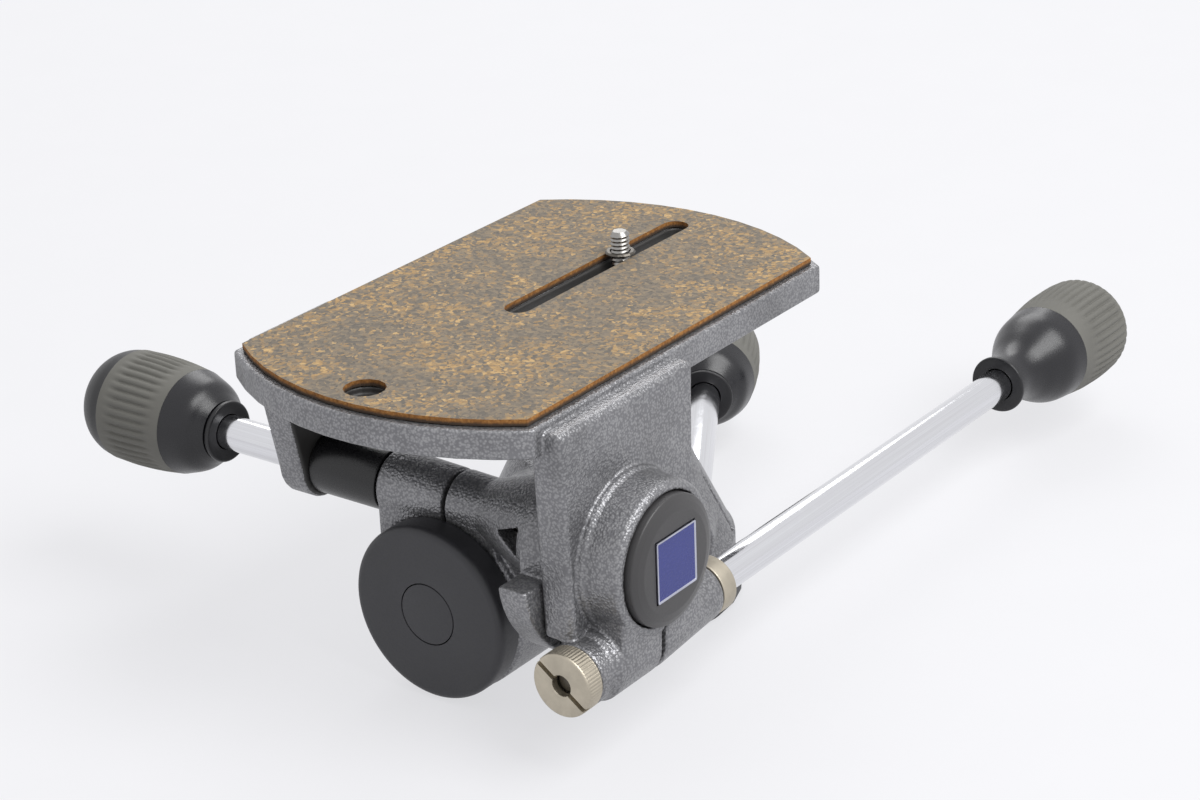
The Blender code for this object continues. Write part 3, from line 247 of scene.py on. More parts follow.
def make_camera():
    """The camera of the photograph: its place, its direction, its roll and its lens."""
    data = bpy.data.cameras.new("camera")
    data.lens = CAMERA_LENS
    data.sensor_width = CAMERA_SENSOR
    data.clip_start = CAMERA_NEAR
    data.clip_end = CAMERA_FAR
    a, e = CAMERA_AZIMUTH, CAMERA_ELEVATION
    forward = Vector((-math.sin(a) * math.cos(e), math.cos(a) * math.cos(e), -math.sin(e)))
    right = forward.cross(Vector((0, 0, 1))).normalized()
    up = right.cross(forward)
    c, s = math.cos(CAMERA_ROLL), math.sin(CAMERA_ROLL)
    across = right * c + up * s
    along = up * c - right * s
    turn = Matrix((across, along, -forward)).transposed()
    camera = bpy.data.objects.new("camera", data)
    camera.matrix_world = Matrix.Translation(CAMERA_AT) @ turn.to_4x4()
    SCENE.collection.objects.link(camera)
    SCENE.camera = camera


class Graph:
    """A material's nodes, made by name and linked as they are made."""

    def __init__(self, name):
        self.material = bpy.data.materials.new(name)
        self.material.use_nodes = True
        self.tree = self.material.node_tree
        self.tree.nodes.clear()
        self.out = self.tree.nodes.new("ShaderNodeOutputMaterial")
        self.shader = self.tree.nodes.new("ShaderNodeBsdfPrincipled")
        self.link(self.shader.outputs[0], self.out.inputs["Surface"])

    def link(self, a, b):
        self.tree.links.new(a, b)

    def add(self, kind, values=(), links=(), **settings):
        node = self.tree.nodes.new("ShaderNode" + kind)
        for key, value in settings.items():
            setattr(node, key, value)
        for key, value in dict(values).items():
            node.inputs[key].default_value = value
        for key, source in dict(links).items():
            self.link(source, node.inputs[key])
        return node

    def place(self):
        return self.add("TexCoord").outputs["Object"]

    def ramp(self, source, stops):
        node = self.tree.nodes.new("ShaderNodeValToRGB")
        bar = node.color_ramp
        while len(bar.elements) < len(stops):
            bar.elements.new(0.5)
        for element, (at, colour) in zip(bar.elements, stops):
            element.position = at
            element.color = (*colour, 1)
        self.link(source, node.inputs["Fac"])
        return node.outputs["Color"]

    def noise(self, where, scale, detail=2.0, rough=0.5, warp=0.0):
        node = self.add(
            "TexNoise",
            {"Scale": scale, "Detail": detail, "Roughness": rough, "Distortion": warp},
            {"Vector": where},
        )
        return node.outputs["Fac"]

    def cells(self, where, scale, feature="F1", random=1.0, smooth=0.5):
        node = self.add("TexVoronoi", {"Scale": scale, "Randomness": random},
                        {"Vector": where}, feature=feature)
        if feature == "SMOOTH_F1":
            node.inputs["Smoothness"].default_value = smooth
        return node

    def bump(self, height, distance, strength=1.0, under=None):
        links = {"Height": height}
        if under is not None:
            links["Normal"] = under
        node = self.add("Bump", {"Strength": strength, "Distance": distance}, links)
        return node.outputs["Normal"]

    def math(self, kind, one, two):
        node = self.tree.nodes.new("ShaderNodeMath")
        node.operation = kind
        for socket, value in ((0, one), (1, two)):
            if isinstance(value, bpy.types.NodeSocket):
                self.link(value, node.inputs[socket])
            else:
                node.inputs[socket].default_value = value
        return node.outputs[0]

    def mix(self, share, one, two, blend="MIX"):
        node = self.tree.nodes.new("ShaderNodeMix")
        node.data_type = "RGBA"
        node.blend_type = blend
        for socket, value in ((0, share), (6, one), (7, two)):
            if isinstance(value, bpy.types.NodeSocket):
                self.link(value, node.inputs[socket])
            elif socket == 0:
                node.inputs[socket].default_value = value
            else:
                node.inputs[socket].default_value = (*value, 1)
        return node.outputs[2]

    def span(self, source, low, high, lo, hi):
        limits = {"From Min": low, "From Max": high, "To Min": lo, "To Max": hi}
        node = self.add("MapRange", limits, {"Value": source})
        return node.outputs["Result"]

    def surface(self, values=(), links=()):
        for key, value in dict(values).items():
            self.shader.inputs[key].default_value = value
        for key, source in dict(links).items():
            self.link(source, self.shader.inputs[key])
        return self.material


def tone(r, g, b):
    """A colour written as the screen shows it, turned to light."""
    parts = [v / 255 for v in (r, g, b)]
    return tuple(v / 12.92 if v <= 0.04045 else ((v + 0.055) / 1.055) ** 2.4 for v in parts)


def hammertone():
    """Metallic paint that has drawn into small rounded pebbles."""
    g = Graph("hammertone")
    where = g.place()
    wander = g.add("TexNoise", {"Scale": 700, "Detail": 1.0}, {"Vector": where}).outputs["Color"]
    bent = g.add("VectorMath", {1: (0.0004, 0.0004, 0.0004)}, {0: wander, 2: where},
                 operation="MULTIPLY_ADD").outputs[0]
    pits = g.cells(bent, 1250, "SMOOTH_F1", 1.0, 0.4).outputs["Distance"]
    fine = g.noise(where, 3000, 2, 0.6)
    broad = g.noise(where, 55, 3, 0.6)
    flake = g.noise(where, 1700, 2, 0.7)
    pebbles = ((0.0, tone(163, 163, 165)), (0.55, tone(154, 154, 156)), (1.0, tone(128, 128, 131)))
    base = g.ramp(g.span(pits, 0.05, 0.62, 0.0, 1.0), pebbles)
    stain = g.ramp(broad, ((0.3, tone(222, 222, 222)), (0.7, tone(255, 255, 255))))
    colour = g.mix(1.0, base, stain, "MULTIPLY")
    rough = g.span(flake, 0.35, 0.65, 0.30, 0.46)
    normal = g.bump(g.math("MULTIPLY", pits, -1.0), 0.00034, 0.6)
    normal = g.bump(fine, 0.00005, 0.5, normal)
    return g.surface({"Metallic": 0.66},
                     {"Base Color": colour, "Roughness": rough, "Normal": normal})


def cork():
    """Pressed cork: a grey-brown ground set with tan crumbs that lie every way."""
    g = Graph("cork")
    where = g.place()
    patch = g.noise(where, 42, 4, 0.7, 0.5)
    wander = g.add("TexNoise", {"Scale": 420, "Detail": 2.0}, {"Vector": where}).outputs["Color"]
    bent = g.add("VectorMath", {1: (0.0026, 0.0026, 0.0026)}, {0: wander, 2: where},
                 operation="MULTIPLY_ADD").outputs[0]
    crumbs = g.cells(bent, 880)
    split = g.add("SeparateColor", {}, {0: crumbs.outputs["Color"]})
    speck = g.noise(where, 1900, 2, 0.6)
    lean = g.math("MULTIPLY", g.math("SUBTRACT", patch, 0.5), 2.1)
    share = g.span(g.math("ADD", split.outputs[0], lean), 0.56, 0.98, 0.0, 0.85)
    ground = ((0.0, tone(100, 95, 88)), (0.6, tone(122, 112, 99)), (1.0, tone(138, 124, 104)))
    crumb = ((0.0, tone(150, 124, 88)), (0.7, tone(180, 146, 98)), (1.0, tone(206, 172, 120)))
    dark = g.ramp(split.outputs[1], ground)
    pale = g.ramp(split.outputs[2], crumb)
    colour = g.mix(share, dark, pale)
    holes = g.span(g.noise(where, 1300, 2, 0.5), 0.30, 0.38, 0.7, 0.0)
    colour = g.mix(holes, colour, tone(76, 69, 61))
    height = g.math("ADD", crumbs.outputs["Distance"], speck)
    return g.surface({"Roughness": 0.8, "Specular IOR Level": 0.35},
                     {"Base Color": colour, "Normal": g.bump(height, 0.00012, 0.6)})


def cork_edge():
    """The cut edge: raw orange brown cork, darker towards the bottom."""
    g = Graph("cork_edge")
    where = g.place()
    grain = g.noise(where, 900, 3, 0.7)
    raw = ((0.3, tone(112, 72, 30)), (0.52, tone(150, 100, 46)), (0.75, tone(178, 130, 72)))
    colour = g.ramp(grain, raw)
    level = g.add("SeparateXYZ", {}, {0: where}).outputs[2]
    low = g.span(g.math("ADD", level, g.math("MULTIPLY", grain, 0.0006)), 0.1074, 0.1082, 1.0, 0.0)
    colour = g.mix(low, colour, tone(64, 50, 38))
    return g.surface({"Roughness": 0.85},
                     {"Base Color": colour, "Normal": g.bump(grain, 0.00012, 0.7)})


def plastic(name, colour, rough=0.42, grain=1800, depth=0.00003, shine=0.5):
    """Moulded plastic or smooth paint: a fine grain and slightly uneven tone and gloss."""
    g = Graph(name)
    where = g.place()
    fine = g.noise(where, grain, 2, 0.6)
    broad = g.noise(where, 40, 2, 0.5)
    low = tuple(v * 0.84 for v in colour)
    tint = g.ramp(broad, ((0.3, low), (0.7, colour)))
    gloss = g.span(fine, 0.3, 0.7, rough - 0.05, rough + 0.06)
    normal = g.bump(fine, depth, 0.7)
    return g.surface({"Specular IOR Level": shine},
                     {"Base Color": tint, "Roughness": gloss, "Normal": normal})


def metal(name, colour, rough=0.25, streaks=(300, 300, 4000), depth=0.00001, low=0.8):
    """Bare or plated metal with tool lines and faint stains."""
    g = Graph(name)
    where = g.place()
    moved = g.add("Mapping", {"Scale": streaks}, {"Vector": where}).outputs[0]
    lines = g.noise(moved, 1.0, 3, 0.6)
    stain = g.noise(where, 120, 3, 0.6)
    tint = g.ramp(stain, ((0.3, tuple(v * low for v in colour)), (0.65, colour)))
    gloss = g.span(lines, 0.3, 0.7, rough - 0.04, rough + 0.06)
    normal = g.bump(lines, depth, 0.5)
    return g.surface({"Metallic": 1.0}, {"Base Color": tint, "Roughness": gloss, "Normal": normal})


def chrome():
    """Plated rod: fine lines run along it and a few faint rub marks cross them."""
    g = Graph("chrome")
    where = g.place()
    along = g.add("Mapping", {"Scale": (2600, 2600, 14)}, {"Vector": where}).outputs[0]
    lines = g.noise(along, 1.0, 2, 0.5)
    rub = g.noise(where, 260, 3, 0.6)
    tint = g.ramp(lines, ((0.3, tone(214, 214, 217)), (0.7, tone(224, 225, 228))))
    gloss = g.span(rub, 0.45, 0.75, 0.12, 0.2)
    return g.surface({"Metallic": 1.0}, {"Base Color": tint, "Roughness": gloss})


HAMMER = hammertone()
CORK = cork()
CORK_EDGE = cork_edge()
COVER = plastic("cover_black", tone(54, 54, 58), 0.46, 1500)
HUB_BLACK = plastic("hub_black", tone(62, 61, 62), 0.4, 1500)
KNOB = plastic("knob_black", tone(27, 27, 31), 0.3, 2600)
COLLAR = plastic("collar_black", tone(26, 26, 29), 0.36, 2600)
SLEEVE = plastic("sleeve_black", tone(24, 24, 26), 0.3, 2200)
CAP = plastic("cap_black", tone(26, 26, 28), 0.42, 1800)
RUBBER = plastic("grip_grey", tone(116, 115, 110), 0.74, 2400, 0.00005, 0.3)
BASE_BLACK = plastic("base_black", tone(44, 44, 47), 0.45, 1500)
CHROME = chrome()
STEEL = metal("steel", tone(158, 156, 152), 0.3)
DARK_STEEL = metal("dark_steel", tone(98, 94, 88), 0.36, (900, 900, 900), 0.00003)
ALUMINIUM = metal("aluminium", tone(196, 197, 200), 0.34)
BRASS = metal("brass", tone(196, 160, 92), 0.3)
BEIGE = metal("beige_metal", tone(192, 184, 168), 0.48, (900, 900, 900), 0.00003)
# Painted shade: a dark colour that stands in for the shade in the platform's slot, pin hole and
# far wing.
PAINTED_SHADE = plastic("painted_shade", tone(54, 53, 52), 0.5, 1500)
NYLON = plastic("nylon", tone(214, 210, 200), 0.5, 1500)
BLUE = plastic("blue_plate", tone(38, 48, 124), 0.26, 900, 0.00001)
BORDER = metal("plate_border", tone(196, 198, 212), 0.3, (900, 900, 900))

# The looks of the CAD nodes that stay.
LOOKS = {
    BASE_BLACK: ("base_plate",),
    COVER: ("pan_top_cap",),
    CAP: ("camera_screw_knob",),
    DARK_STEEL: ("screw_keeper",),
    STEEL: ("pan_spindle", "base_screw_1", "base_screw_2", "base_screw_3",
            "spindle_retainer", "retainer_screw", "cover_screw", "front_tilt_axle",
            "pan_clamp_nut"),
    ALUMINIUM: ("side_tilt_shaft", "screw_carrier"),
    BRASS: ("tripod_bushing", "side_clamp_insert"),
    NYLON: ("side_tilt_liner", "far_pivot_bush"),
}


def dress():
    """Gives each CAD node that stays its look."""
    for look, names in LOOKS.items():
        for name in names:
            data = NODES[name].data
            data.materials.clear()
            data.materials.append(look)


def points_of(name):
    data = NODES[name].data
    flat = np.empty(len(data.vertices) * 3)
    data.vertices.foreach_get("co", flat)
    return flat.reshape(-1, 3)


def reach(name, origin, turn):
    """How far a node runs along an axis from an origin, in millimetres."""
    line = np.array(turn.col[2])
    along = (points_of(name) - np.array(origin)) @ line
    return along.min() / MM, along.max() / MM


def settle(name, mesh, body, node, look, origin=(0, 0, 0), turn=ALONG_Z):
    """Makes an object of a mesh, rides it on its body and lets it stand for its node."""
    piece = bpy.data.objects.new(name, mesh)
    piece.matrix_world = Matrix.Translation(origin) @ turn.to_4x4()
    SCENE.collection.objects.link(piece)
    if look is not None:
        mesh.materials.clear()
        mesh.materials.append(look)
    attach(piece, body)
    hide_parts(node)
    return piece


def bend(points, steps=ROUND_STEPS):
    """A profile of (radius, along) points, with an arc at each point that gives a third value."""
    out = []
    count = len(points)
    for i, point in enumerate(points):
        here = Vector(point[:2])
        fillet = point[2] if len(point) > 2 else 0
        if not fillet:
            out.append(tuple(here))
            continue
        back = Vector(points[i - 1][:2]) - here
        on = Vector(points[(i + 1) % count][:2]) - here
        half = back.angle(on) / 2
        cut = min(fillet / math.tan(half), back.length * 0.49, on.length * 0.49)
        start = here + back.normalized() * cut
        end = here + on.normalized() * cut
        for k in range(steps + 1):
            t = k / steps
            out.append(tuple(start * (1 - t) ** 2 + here * (2 * t * (1 - t)) + end * t ** 2))
    return out


def flow(shares, length, radius, start, count=28):
    """A smooth line through points given as shares of a length and of a radius."""
    knots = [Vector((start + a * length, r * radius)) for a, r in shares]
    ends = [knots[0] * 2 - knots[1]] + knots + [knots[-1] * 2 - knots[-2]]
    out = []
    runs = len(knots) - 1
    each = max(2, count // runs)
    for i in range(runs):
        a, b, c, d = ends[i:i + 4]
        for k in range(each):
            t = k / each
            p = (b * 2 + (c - a) * t + (a * 2 - b * 5 + c * 4 - d) * t ** 2
                 + (b * 3 - a - c * 3 + d) * t ** 3) * 0.5
            out.append((max(p[1], 0.0), p[0]))
    out.append((knots[-1][1], knots[-1][0]))
    return out


def lathe(name, outline, sides=KNOB_SIDES, shape=None):
    """A closed outline of (radius, along) points in millimetres, spun about the local Z."""
    work = bmesh.new()
    rings = []
    for radius, along in outline:
        if radius < ON_AXIS:
            rings.append([work.verts.new((0, 0, along * MM))])
            continue
        ring = []
        for k in range(sides):
            angle = 2 * math.pi * k / sides
            r = (shape(angle, radius, along) if shape else radius) * MM
            ring.append(work.verts.new((r * math.cos(angle), r * math.sin(angle), along * MM)))
        rings.append(ring)
    for one, two in zip(rings, rings[1:] + rings[:1]):
        join_rings(work, one, two, sides)
    bmesh.ops.recalc_face_normals(work, faces=work.faces)
    mesh = bpy.data.meshes.new(name)
    work.to_mesh(mesh)
    work.free()
    soft_shade(mesh)
    return mesh


def join_rings(work, one, two, sides):
    if len(one) == 1 and len(two) == 1:
        return
    for k in range(sides):
        j = (k + 1) % sides
        if len(one) == 1:
            work.faces.new((one[0], two[j], two[k]))
        elif len(two) == 1:
            work.faces.new((one[k], one[j], two[0]))
        else:
            work.faces.new((one[k], one[j], two[j], two[k]))


def soft_shade(mesh, angle=38):
    for face in mesh.polygons:
        face.use_smooth = True
    mesh.set_sharp_from_angle(angle=math.radians(angle))


def baked(mesh, name, settings):
    """A copy of a mesh with modifiers applied; settings lists (type, values) pairs."""
    holder = bpy.data.objects.new(name + "_work", mesh.copy())
    SCENE.collection.objects.link(holder)
    for kind, values in settings:
        modifier = holder.modifiers.new(kind.lower(), kind)
        for key, value in values.items():
            setattr(modifier, key, value)
    graph = bpy.context.evaluated_depsgraph_get()
    made = bpy.data.meshes.new_from_object(holder.evaluated_get(graph))
    made.name = name
    bpy.data.objects.remove(holder)
    return made


def carve(mesh, name, tool):
    """Cuts one mesh out of another, both in the same local frame."""
    cutter = bpy.data.objects.new(name + "_cutter", tool)
    SCENE.collection.objects.link(cutter)
    settings = {"operation": "DIFFERENCE", "solver": "EXACT", "object": cutter}
    made = baked(mesh, name, [("BOOLEAN", settings)])
    bpy.data.objects.remove(cutter)
    soft_shade(made)
    return made


def block(name, low, high, turn=0.0):
    """A box tool between two corners in millimetres, turned about Z."""
    work = bmesh.new()
    bmesh.ops.create_cube(work, size=1.0)
    size = [(b - a) * MM for a, b in zip(low, high)]
    middle = Vector([(a + b) / 2 * MM for a, b in zip(low, high)])
    for vert in work.verts:
        vert.co = Vector([c * s for c, s in zip(vert.co, size)]) + middle
    bmesh.ops.rotate(work, verts=work.verts, matrix=Matrix.Rotation(turn, 3, "Z"))
    mesh = bpy.data.meshes.new(name)
    work.to_mesh(mesh)
    work.free()
    return mesh


def make_handle(number, seat, turn, neck, grip, dome):
    """One clamp handle from its seat outward: rod, collar, knob, ribbed grip and end cap."""
    body = "handle_%d" % number
    label = "_%d" % number
    low, high = reach("handle_rod" + label, seat, turn)
    line = bend([(0, low), (SHANK_RADIUS, low, EDGE_ROUND), (SHANK_RADIUS, 0),
                 (ROD_RADIUS, 0, SEAT_ROUND), (ROD_RADIUS, high, EDGE_ROUND), (0, high)])
    rod = settle("rod" + label, lathe("rod" + label, line), body, "handle_rod" + label, CHROME,
                 seat, turn)
    rod.data.materials.append(DARK_STEEL)
    for face in rod.data.polygons:
        face.material_index = 1 if face.center.z < CHROME_START * MM else 0
    low, high = reach("knob_collar" + label, seat, turn)
    line = bend([(COLLAR_BORE, high), (COLLAR_BORE, low + COLLAR_STEP, COLLAR_BORE_ROUND),
                 (COLLAR_FRONT, low, SOFT_ROUND),
                 (COLLAR_BACK, high - COLLAR_CHAMFER, SOFT_ROUND), (COLLAR_NECK, high)])
    settle("collar" + label, lathe("collar" + label, line), body, "knob_collar" + label, COLLAR,
           seat, turn)
    start, top = reach("knob_body" + label, seat, turn)
    grip_low, grip_high = reach("knob_grip" + label, seat, turn)
    line = [(KNOB_BORE, start)] + flow(neck, grip_low - start - NECK_GAP, KNOB_RADIUS, start)
    line += [(KNOB_CORE, grip_low - CORE_STEP), (KNOB_CORE, top), (0, top),
             (0, start + KNOB_BORE_DEPTH), (KNOB_BORE, start + KNOB_BORE_DEPTH)]
    settle("knob" + label, lathe("knob" + label, line), body, "knob_body" + label, KNOB,
           seat, turn)
    length = grip_high - grip_low + GRIP_LAP
    outer = flow(grip, length, KNOB_RADIUS, grip_low - GRIP_LAP, GRIP_STEPS)

    def ribbed(angle, radius, along):
        share = (along - grip_low) / length
        fade = smooth(share, *RIB_RISE_SHARES) * (1 - smooth(share, *RIB_FALL_SHARES))
        if radius < KNOB_CORE + RIB_START:
            fade = 0
        wave = 0.5 - 0.5 * math.cos(GRIP_RIBS * angle)
        return radius - RIB_DEPTH * fade * wave ** 2

    bore = KNOB_CORE + GRIP_PLAY
    line = [(bore, grip_low - GRIP_LAP)] + outer + [(bore, grip_high)]
    settle("grip" + label, lathe("grip" + label, line, GRIP_RIBS * RIB_SIDES, ribbed), body,
           "knob_grip" + label, RUBBER, seat, turn)
    low, high = reach("knob_cap" + label, seat, turn)
    line = [(0, low - DOME_LAP)]
    line += flow(dome, high - low + DOME_LAP, KNOB_RADIUS, low - DOME_LAP, DOME_STEPS)
    settle("cap" + label, lathe("cap" + label, line), body, "knob_cap" + label,
           RUBBER if grip is LONG_GRIP else CAP, seat, turn)


def smooth(value, low, high):
    t = min(max((value - low) / (high - low), 0.0), 1.0)
    return t * t * (3 - 2 * t)


def make_handles():
    line = Vector(PAN_LINE).normalized()
    turn = Matrix.Rotation(math.atan2(line.y, line.x), 3, "Z") @ ALONG_X
    pan_seat = Vector(PAN_FOOT) * MM + line * PAN_SEAT * MM
    make_handle(1, metres(LONG_SEAT), ALONG_X, LONG_NECK, LONG_GRIP, LONG_DOME)
    make_handle(2, metres(SHORT_SEAT), ALONG_Y, SHORT_NECK, SHORT_GRIP, SHORT_DOME)
    make_handle(3, pan_seat, turn, SHORT_NECK, SHORT_GRIP, SHORT_DOME)


def make_cover():
    """The front cover, hollow for its screw, and the plug that closes it."""
    origin = metres(COVER_ORIGIN)
    front, back = reach("front_cover", origin, ALONG_X)
    line = bend([(PLUG_WELL, front, WELL_ROUND), (COVER_RADIUS, front, COVER_ROUND),
                 (COVER_RADIUS, back, SOFT_ROUND), (COVER_HOLE, back),
                 (COVER_HOLE, back - COVER_WALL), (SCREW_WELL, back - COVER_WALL),
                 (SCREW_WELL, front + PLUG_WELL_DEPTH),
                 (PLUG_WELL, front + PLUG_WELL_DEPTH)], COVER_STEPS)
    settle("cover", lathe("cover", line, COVER_SIDES), "pan_body", "front_cover", COVER,
           origin, ALONG_X)
    low, high = reach("cover_plug", origin, ALONG_X)
    line = bend([(0, low), (PLUG_RADIUS, low, FINE_ROUND), (PLUG_RADIUS, high, FINE_ROUND),
                 (0, high)])
    settle("plug", lathe("plug", line, PLUG_SIDES), "pan_body", "cover_plug", COVER,
           origin, ALONG_X)


def make_sleeve():
    origin = metres(TILT_ORIGIN)
    low, high = reach("spacer_sleeve", origin, ALONG_Y)
    line = bend([(SLEEVE_BORE, low), (SLEEVE_RADIUS, low, EDGE_ROUND),
                 (SLEEVE_RADIUS, high, EDGE_ROUND), (SLEEVE_BORE, high)])
    settle("sleeve", lathe("sleeve", line), "tilt_body", "spacer_sleeve", SLEEVE,
           origin, ALONG_Y)


def make_hub_cap():
    """The domed cap of the hub, its square recess and the bare plate in it."""
    origin = metres(TILT_ORIGIN)
    front, back = reach("hub_cap", origin, ALONG_Y)
    line = bend([(0, front), (CAP_FACE, front, CAP_FACE_ROUND),
                 (CAP_SLOPE, front + CAP_SLOPE_STEP, CAP_SLOPE_ROUND),
                 (CAP_RADIUS, front + CAP_RIM_STEP, SOFT_ROUND),
                 (CAP_RADIUS, back, FINE_ROUND), (0, back)], FINE_STEPS)
    tool = block("cap_recess", (-RECESS_HALF, -RECESS_HALF, front - TOOL_REACH),
                 (RECESS_HALF, RECESS_HALF, front + RECESS_DEPTH))
    mesh = carve(lathe("cap_disc", line, CAP_SIDES), "hub_disc", tool)
    settle("hub_disc", mesh, "platform", "hub_cap", HUB_BLACK, origin, ALONG_Y)
    low, high = reach("blank_badge", origin, ALONG_Y)
    settle("plate", bare_plate(low, high), "platform", "blank_badge", None,
           origin, ALONG_Y)


def bare_plate(low, high):
    """A square plate with a raised pale border round a bare enamel field."""
    work = bmesh.new()
    bmesh.ops.create_cube(work, size=1.0)
    for vert in work.verts:
        vert.co = Vector((vert.co.x * 2 * BADGE_HALF, vert.co.y * 2 * BADGE_HALF,
                          low if vert.co.z < 0 else high)) * MM
    upright = 0.5 * (high - low) * MM
    corners = [e for e in work.edges if abs(e.verts[0].co.z - e.verts[1].co.z) > upright]
    bmesh.ops.bevel(work, geom=corners, offset=BADGE_CORNER * MM, segments=BADGE_CORNER_STEPS,
                    profile=0.5, affect="EDGES")
    front = min(work.faces, key=lambda f: f.calc_center_median().z)
    bmesh.ops.inset_region(work, faces=[front], thickness=BADGE_BORDER * MM)
    bmesh.ops.inset_region(work, faces=[front], thickness=BADGE_STEP * MM, depth=BADGE_SINK * MM)
    for face in work.faces:
        face.material_index = 1
    front.material_index = 0
    mesh = bpy.data.meshes.new("plate")
    work.to_mesh(mesh)
    work.free()
    mesh.materials.append(BLUE)
    mesh.materials.append(BORDER)
    soft_shade(mesh)
    return mesh


def make_lug_metal():
    """The knurled nut with its slot at one end of the lug, and the washer at the other."""
    origin = metres(LUG_ORIGIN)
    front, back = reach("slotted_nut", origin, ALONG_X)
    line = bend([(NUT_HOLE, front, EDGE_ROUND), (NUT_RADIUS, front, NUT_ROUND),
                 (NUT_RADIUS, back, EDGE_ROUND), (BOLT_BORE, back),
                 (BOLT_BORE, front + NUT_BORE_START), (NUT_HOLE, front + NUT_HOLE_END)],
                FINE_STEPS)

    def knurled(angle, radius, along):
        if radius < NUT_RADIUS - KNURL_BAND:
            return radius
        if along < front + KNURL_FRONT or along > back - KNURL_BACK:
            return radius
        return radius - NUT_RIB_DEPTH * abs(math.sin(NUT_RIBS / 2 * angle)) ** 3

    line = thicken(line, front + KNURL_RINGS_FRONT, back - KNURL_RINGS_BACK, NUT_RADIUS)
    mesh = lathe("nut_blank", line, NUT_RIBS * NUT_RIB_SIDES, knurled)
    tool = block("nut_slot", (-NUT_SLOT / 2, -NUT_SLOT_REACH, front - TOOL_REACH),
                 (NUT_SLOT / 2, NUT_SLOT_REACH, front + NUT_SLOT_DEPTH), NUT_SLOT_TURN)
    settle("nut", carve(mesh, "nut", tool), "platform", "slotted_nut", BEIGE,
           origin, ALONG_X)
    low, high = reach("clamp_washer", origin, ALONG_X)
    line = bend([(BOLT_BORE, low), (WASHER_RADIUS, low, EDGE_ROUND),
                 (WASHER_RADIUS, high, SEAT_ROUND), (BOLT_BORE, high)])
    settle("washer", lathe("washer", line), "platform", "clamp_washer", BEIGE,
           origin, ALONG_X)


def thicken(line, low, high, radius, rows=6):
    """Adds rings along the straight wall of an outline."""
    out = []
    for one, two in zip(line, line[1:] + line[:1]):
        out.append(one)
        if abs(one[0] - radius) < SAME_RADIUS and abs(two[0] - radius) < SAME_RADIUS:
            out += [(radius, low + (high - low) * k / rows) for k in range(rows + 1)]
    return out


def make_camera_screw():
    """The camera screw with its thread cut as a helix."""
    origin = metres(STUD_ORIGIN)
    low, high = reach("camera_screw", origin, ALONG_Z)
    step = THREAD_PITCH / THREAD_STEPS
    rows = int((high - low - STUD_PLAIN) / step)
    line = [(0, low), (STUD_RADIUS - STUD_CHAMFER, low), (STUD_RADIUS, low + STUD_CHAMFER)]
    line += [(STUD_RADIUS, low + STUD_CHAMFER + step * (k + 1)) for k in range(rows)]
    line += [(STUD_RADIUS - STUD_TIP, high), (0, high)]

    def thread(angle, r, along):
        if r < STUD_RADIUS - SAME_RADIUS:
            return r
        turns = along / THREAD_PITCH - angle / (2 * math.pi)
        return r - THREAD_DEPTH * (1 - abs(2 * (turns % 1.0) - 1)) ** THREAD_FULLNESS

    settle("stud", lathe("stud", line, STUD_SIDES, thread), "camera_screw", "camera_screw", STEEL,
           origin)


def round_out(mesh, origin, turn, wall):
    """Moves the flats of a turned wall out to its true circle."""
    flat = np.empty(len(mesh.vertices) * 3)
    mesh.vertices.foreach_get("co", flat)
    frame_of = np.array(turn)
    local = (flat.reshape(-1, 3) / MM - np.array(origin)) @ frame_of
    radius = np.hypot(local[:, 0], local[:, 1])
    half = math.pi / FLATS
    angle = np.arctan2(local[:, 1], local[:, 0])
    share = math.cos(half) / np.cos(np.mod(angle, 2 * half) - half)
    radii, heights = zip(*sorted(wall, key=lambda point: point[1]))
    due = np.interp(local[:, 2], heights, radii, left=PAST_WALL, right=PAST_WALL)
    miss = np.abs(radius / share - due)
    weight = np.clip((OFF_WALL - miss) / (OFF_WALL - ON_WALL), 0.0, 1.0)
    local[:, :2] *= (1 + weight * (1 / share - 1))[:, None]
    mesh.vertices.foreach_set("co", ((local @ frame_of.T + np.array(origin)) * MM).ravel())
    mesh.update()


def make_casting(name, piece, body):
    """A casting with its edges run round: remeshed, smoothed, made truly round and thinned."""
    mesh = baked(NODES[name].data, piece, [
        ("REMESH", {"mode": "VOXEL", "voxel_size": CAST_VOXEL * MM, "use_smooth_shade": True}),
        ("SMOOTH", {"factor": CAST_SMOOTH, "iterations": CAST_ROUNDS}),
    ])
    for origin, turn, wall in TURNED_WALLS[name]:
        round_out(mesh, origin, turn, wall)
    mesh = baked(mesh, piece, [("DECIMATE", {"ratio": CAST_SHARE})])
    for face in mesh.polygons:
        face.use_smooth = True
    made = settle(piece, mesh, body, name, HAMMER)
    # The second slot is painted shade for the platform's slot, pin hole and far wing's inner face.
    mesh.materials.append(PAINTED_SHADE)
    return made


def paint_shade_in_wells(casting):
    """Paints shade on the screw slot and pin hole walls and on the far wing's inner face."""
    for face in casting.data.polygons:
        x, y, z = face.center / MM
        y -= PLATFORM_Y
        near = min(max(x, SLOT_NEAR), SLOT_FAR)
        in_slot = math.hypot(x - near, y) < SLOT_HALF and PLATE_LOW < z and face.normal.z > -FACING
        in_hole = math.hypot(x - PIN_X, y) < PIN_HALF and PIN_FLOOR < z
        well = (in_slot or in_hole) and z < PLATE_HIGH
        on_wing = abs(y + PLATFORM_Y - WING_INSIDE) < WING_SLACK
        inside = on_wing and face.normal.y < -FACING and z < PLATE_LOW
        if well or inside:
            face.material_index = 1


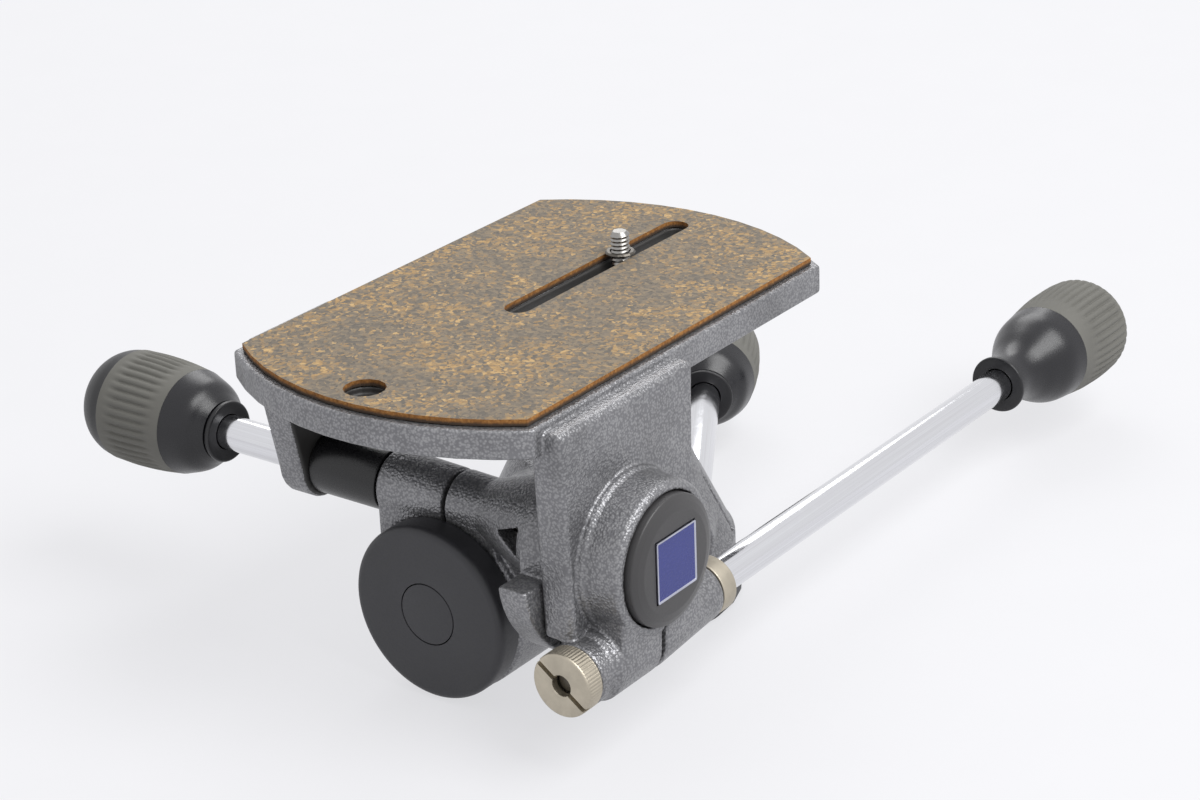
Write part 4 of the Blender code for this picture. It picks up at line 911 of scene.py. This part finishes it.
def make_cork():
    """The cork sheet, its cut edges eased and given the colour of raw cork."""
    mesh = baked(NODES["cork_pad"].data, "cork_sheet", [
        ("BEVEL", {"width": CORK_BEVEL * MM, "segments": 2, "limit_method": "ANGLE",
                   "angle_limit": CORK_SHARP}),
    ])
    mesh.materials.clear()
    mesh.materials.append(CORK)
    mesh.materials.append(CORK_EDGE)
    for face in mesh.polygons:
        face.material_index = 0 if face.normal.z > CORK_FLAT else 1
    settle("cork_sheet", mesh, "platform", "cork_pad", None)


def make_floor():
    """A pale paper floor that glows where it is seen and keeps the object's shadow."""
    h = FLOOR_HALF
    mesh = bpy.data.meshes.new("floor")
    mesh.from_pydata([(-h, -h, 0), (h, -h, 0), (h, h, 0), (-h, h, 0)], [], [(0, 1, 2, 3)])
    floor = bpy.data.objects.new("floor", mesh)
    floor.location.z = -FLOOR_SINK
    SCENE.collection.objects.link(floor)
    g = Graph("paper")
    soft = g.noise(g.place(), 30, 2, 0.5)
    colour = g.ramp(soft, ((0.3, tone(*FLOOR_DARK)), (0.7, tone(*FLOOR_PALE))))
    mesh.materials.append(g.surface({"Roughness": 0.95, "Specular IOR Level": 0.1},
                                    {"Base Color": colour}))
    glow = g.add("Emission", {"Color": (*tone(*FLOOR_GLOW), 1), "Strength": 1.0})
    lift = g.add("MixShader", {}, {0: g.math("MULTIPLY", seen_rays(g.tree), FLOOR_LIFT),
                                   1: g.shader.outputs[0], 2: glow.outputs[0]})
    g.link(lift.outputs[0], g.out.inputs["Surface"])


def seen_rays(tree):
    """One where a camera, glossy or transmission ray asks, and nothing elsewhere."""
    path = tree.nodes.new("ShaderNodeLightPath")
    seen = path.outputs["Is Camera Ray"]
    for ray in ("Is Glossy Ray", "Is Transmission Ray"):
        both = tree.nodes.new("ShaderNodeMath")
        both.operation = "ADD"
        both.use_clamp = True
        tree.links.new(seen, both.inputs[0])
        tree.links.new(path.outputs[ray], both.inputs[1])
        seen = both.outputs[0]
    return seen


def make_world():
    """Even light on the object, and a near white behind it where it is seen."""
    world = bpy.data.worlds.new("studio")
    world.use_nodes = True
    tree = world.node_tree
    tree.nodes.clear()
    out = tree.nodes.new("ShaderNodeOutputWorld")
    soft = tree.nodes.new("ShaderNodeBackground")
    soft.inputs["Color"].default_value = (1, 1, 1, 1)
    soft.inputs["Strength"].default_value = WORLD_STRENGTH
    shown = tree.nodes.new("ShaderNodeBackground")
    shown.inputs["Color"].default_value = (*tone(*WORLD_SEEN), 1)
    shown.inputs["Strength"].default_value = 1.0
    mix = tree.nodes.new("ShaderNodeMixShader")
    tree.links.new(seen_rays(tree), mix.inputs[0])
    tree.links.new(soft.outputs[0], mix.inputs[1])
    tree.links.new(shown.outputs[0], mix.inputs[2])
    tree.links.new(mix.outputs[0], out.inputs[0])
    SCENE.world = world


def area(name, at, aim, side, watts):
    """A square lamp aimed at a point."""
    data = bpy.data.lights.new(name, "AREA")
    data.shape = "RECTANGLE"
    data.size = data.size_y = side
    data.energy = watts
    light = bpy.data.objects.new(name, data)
    light.location = at
    light.rotation_euler = (Vector(aim) - Vector(at)).to_track_quat("-Z", "Y").to_euler()
    SCENE.collection.objects.link(light)


make_camera()
make_world()
make_floor()
for lamp in LAMPS:
    area(*lamp)
dress()
make_handles()
make_cover()
make_sleeve()
make_hub_cap()
make_lug_metal()
make_camera_screw()
# The platform gets painted shade in its slot and pin hole and on the far wing's inner face.
paint_shade_in_wells(make_casting("platform_casting", "platform_cast", "platform"))
make_casting("ring_body", "ring_cast", "tilt_body")
make_casting("pan_casting", "pan_cast", "pan_body")
make_cork()

SCENE.view_settings.view_transform = "Standard"
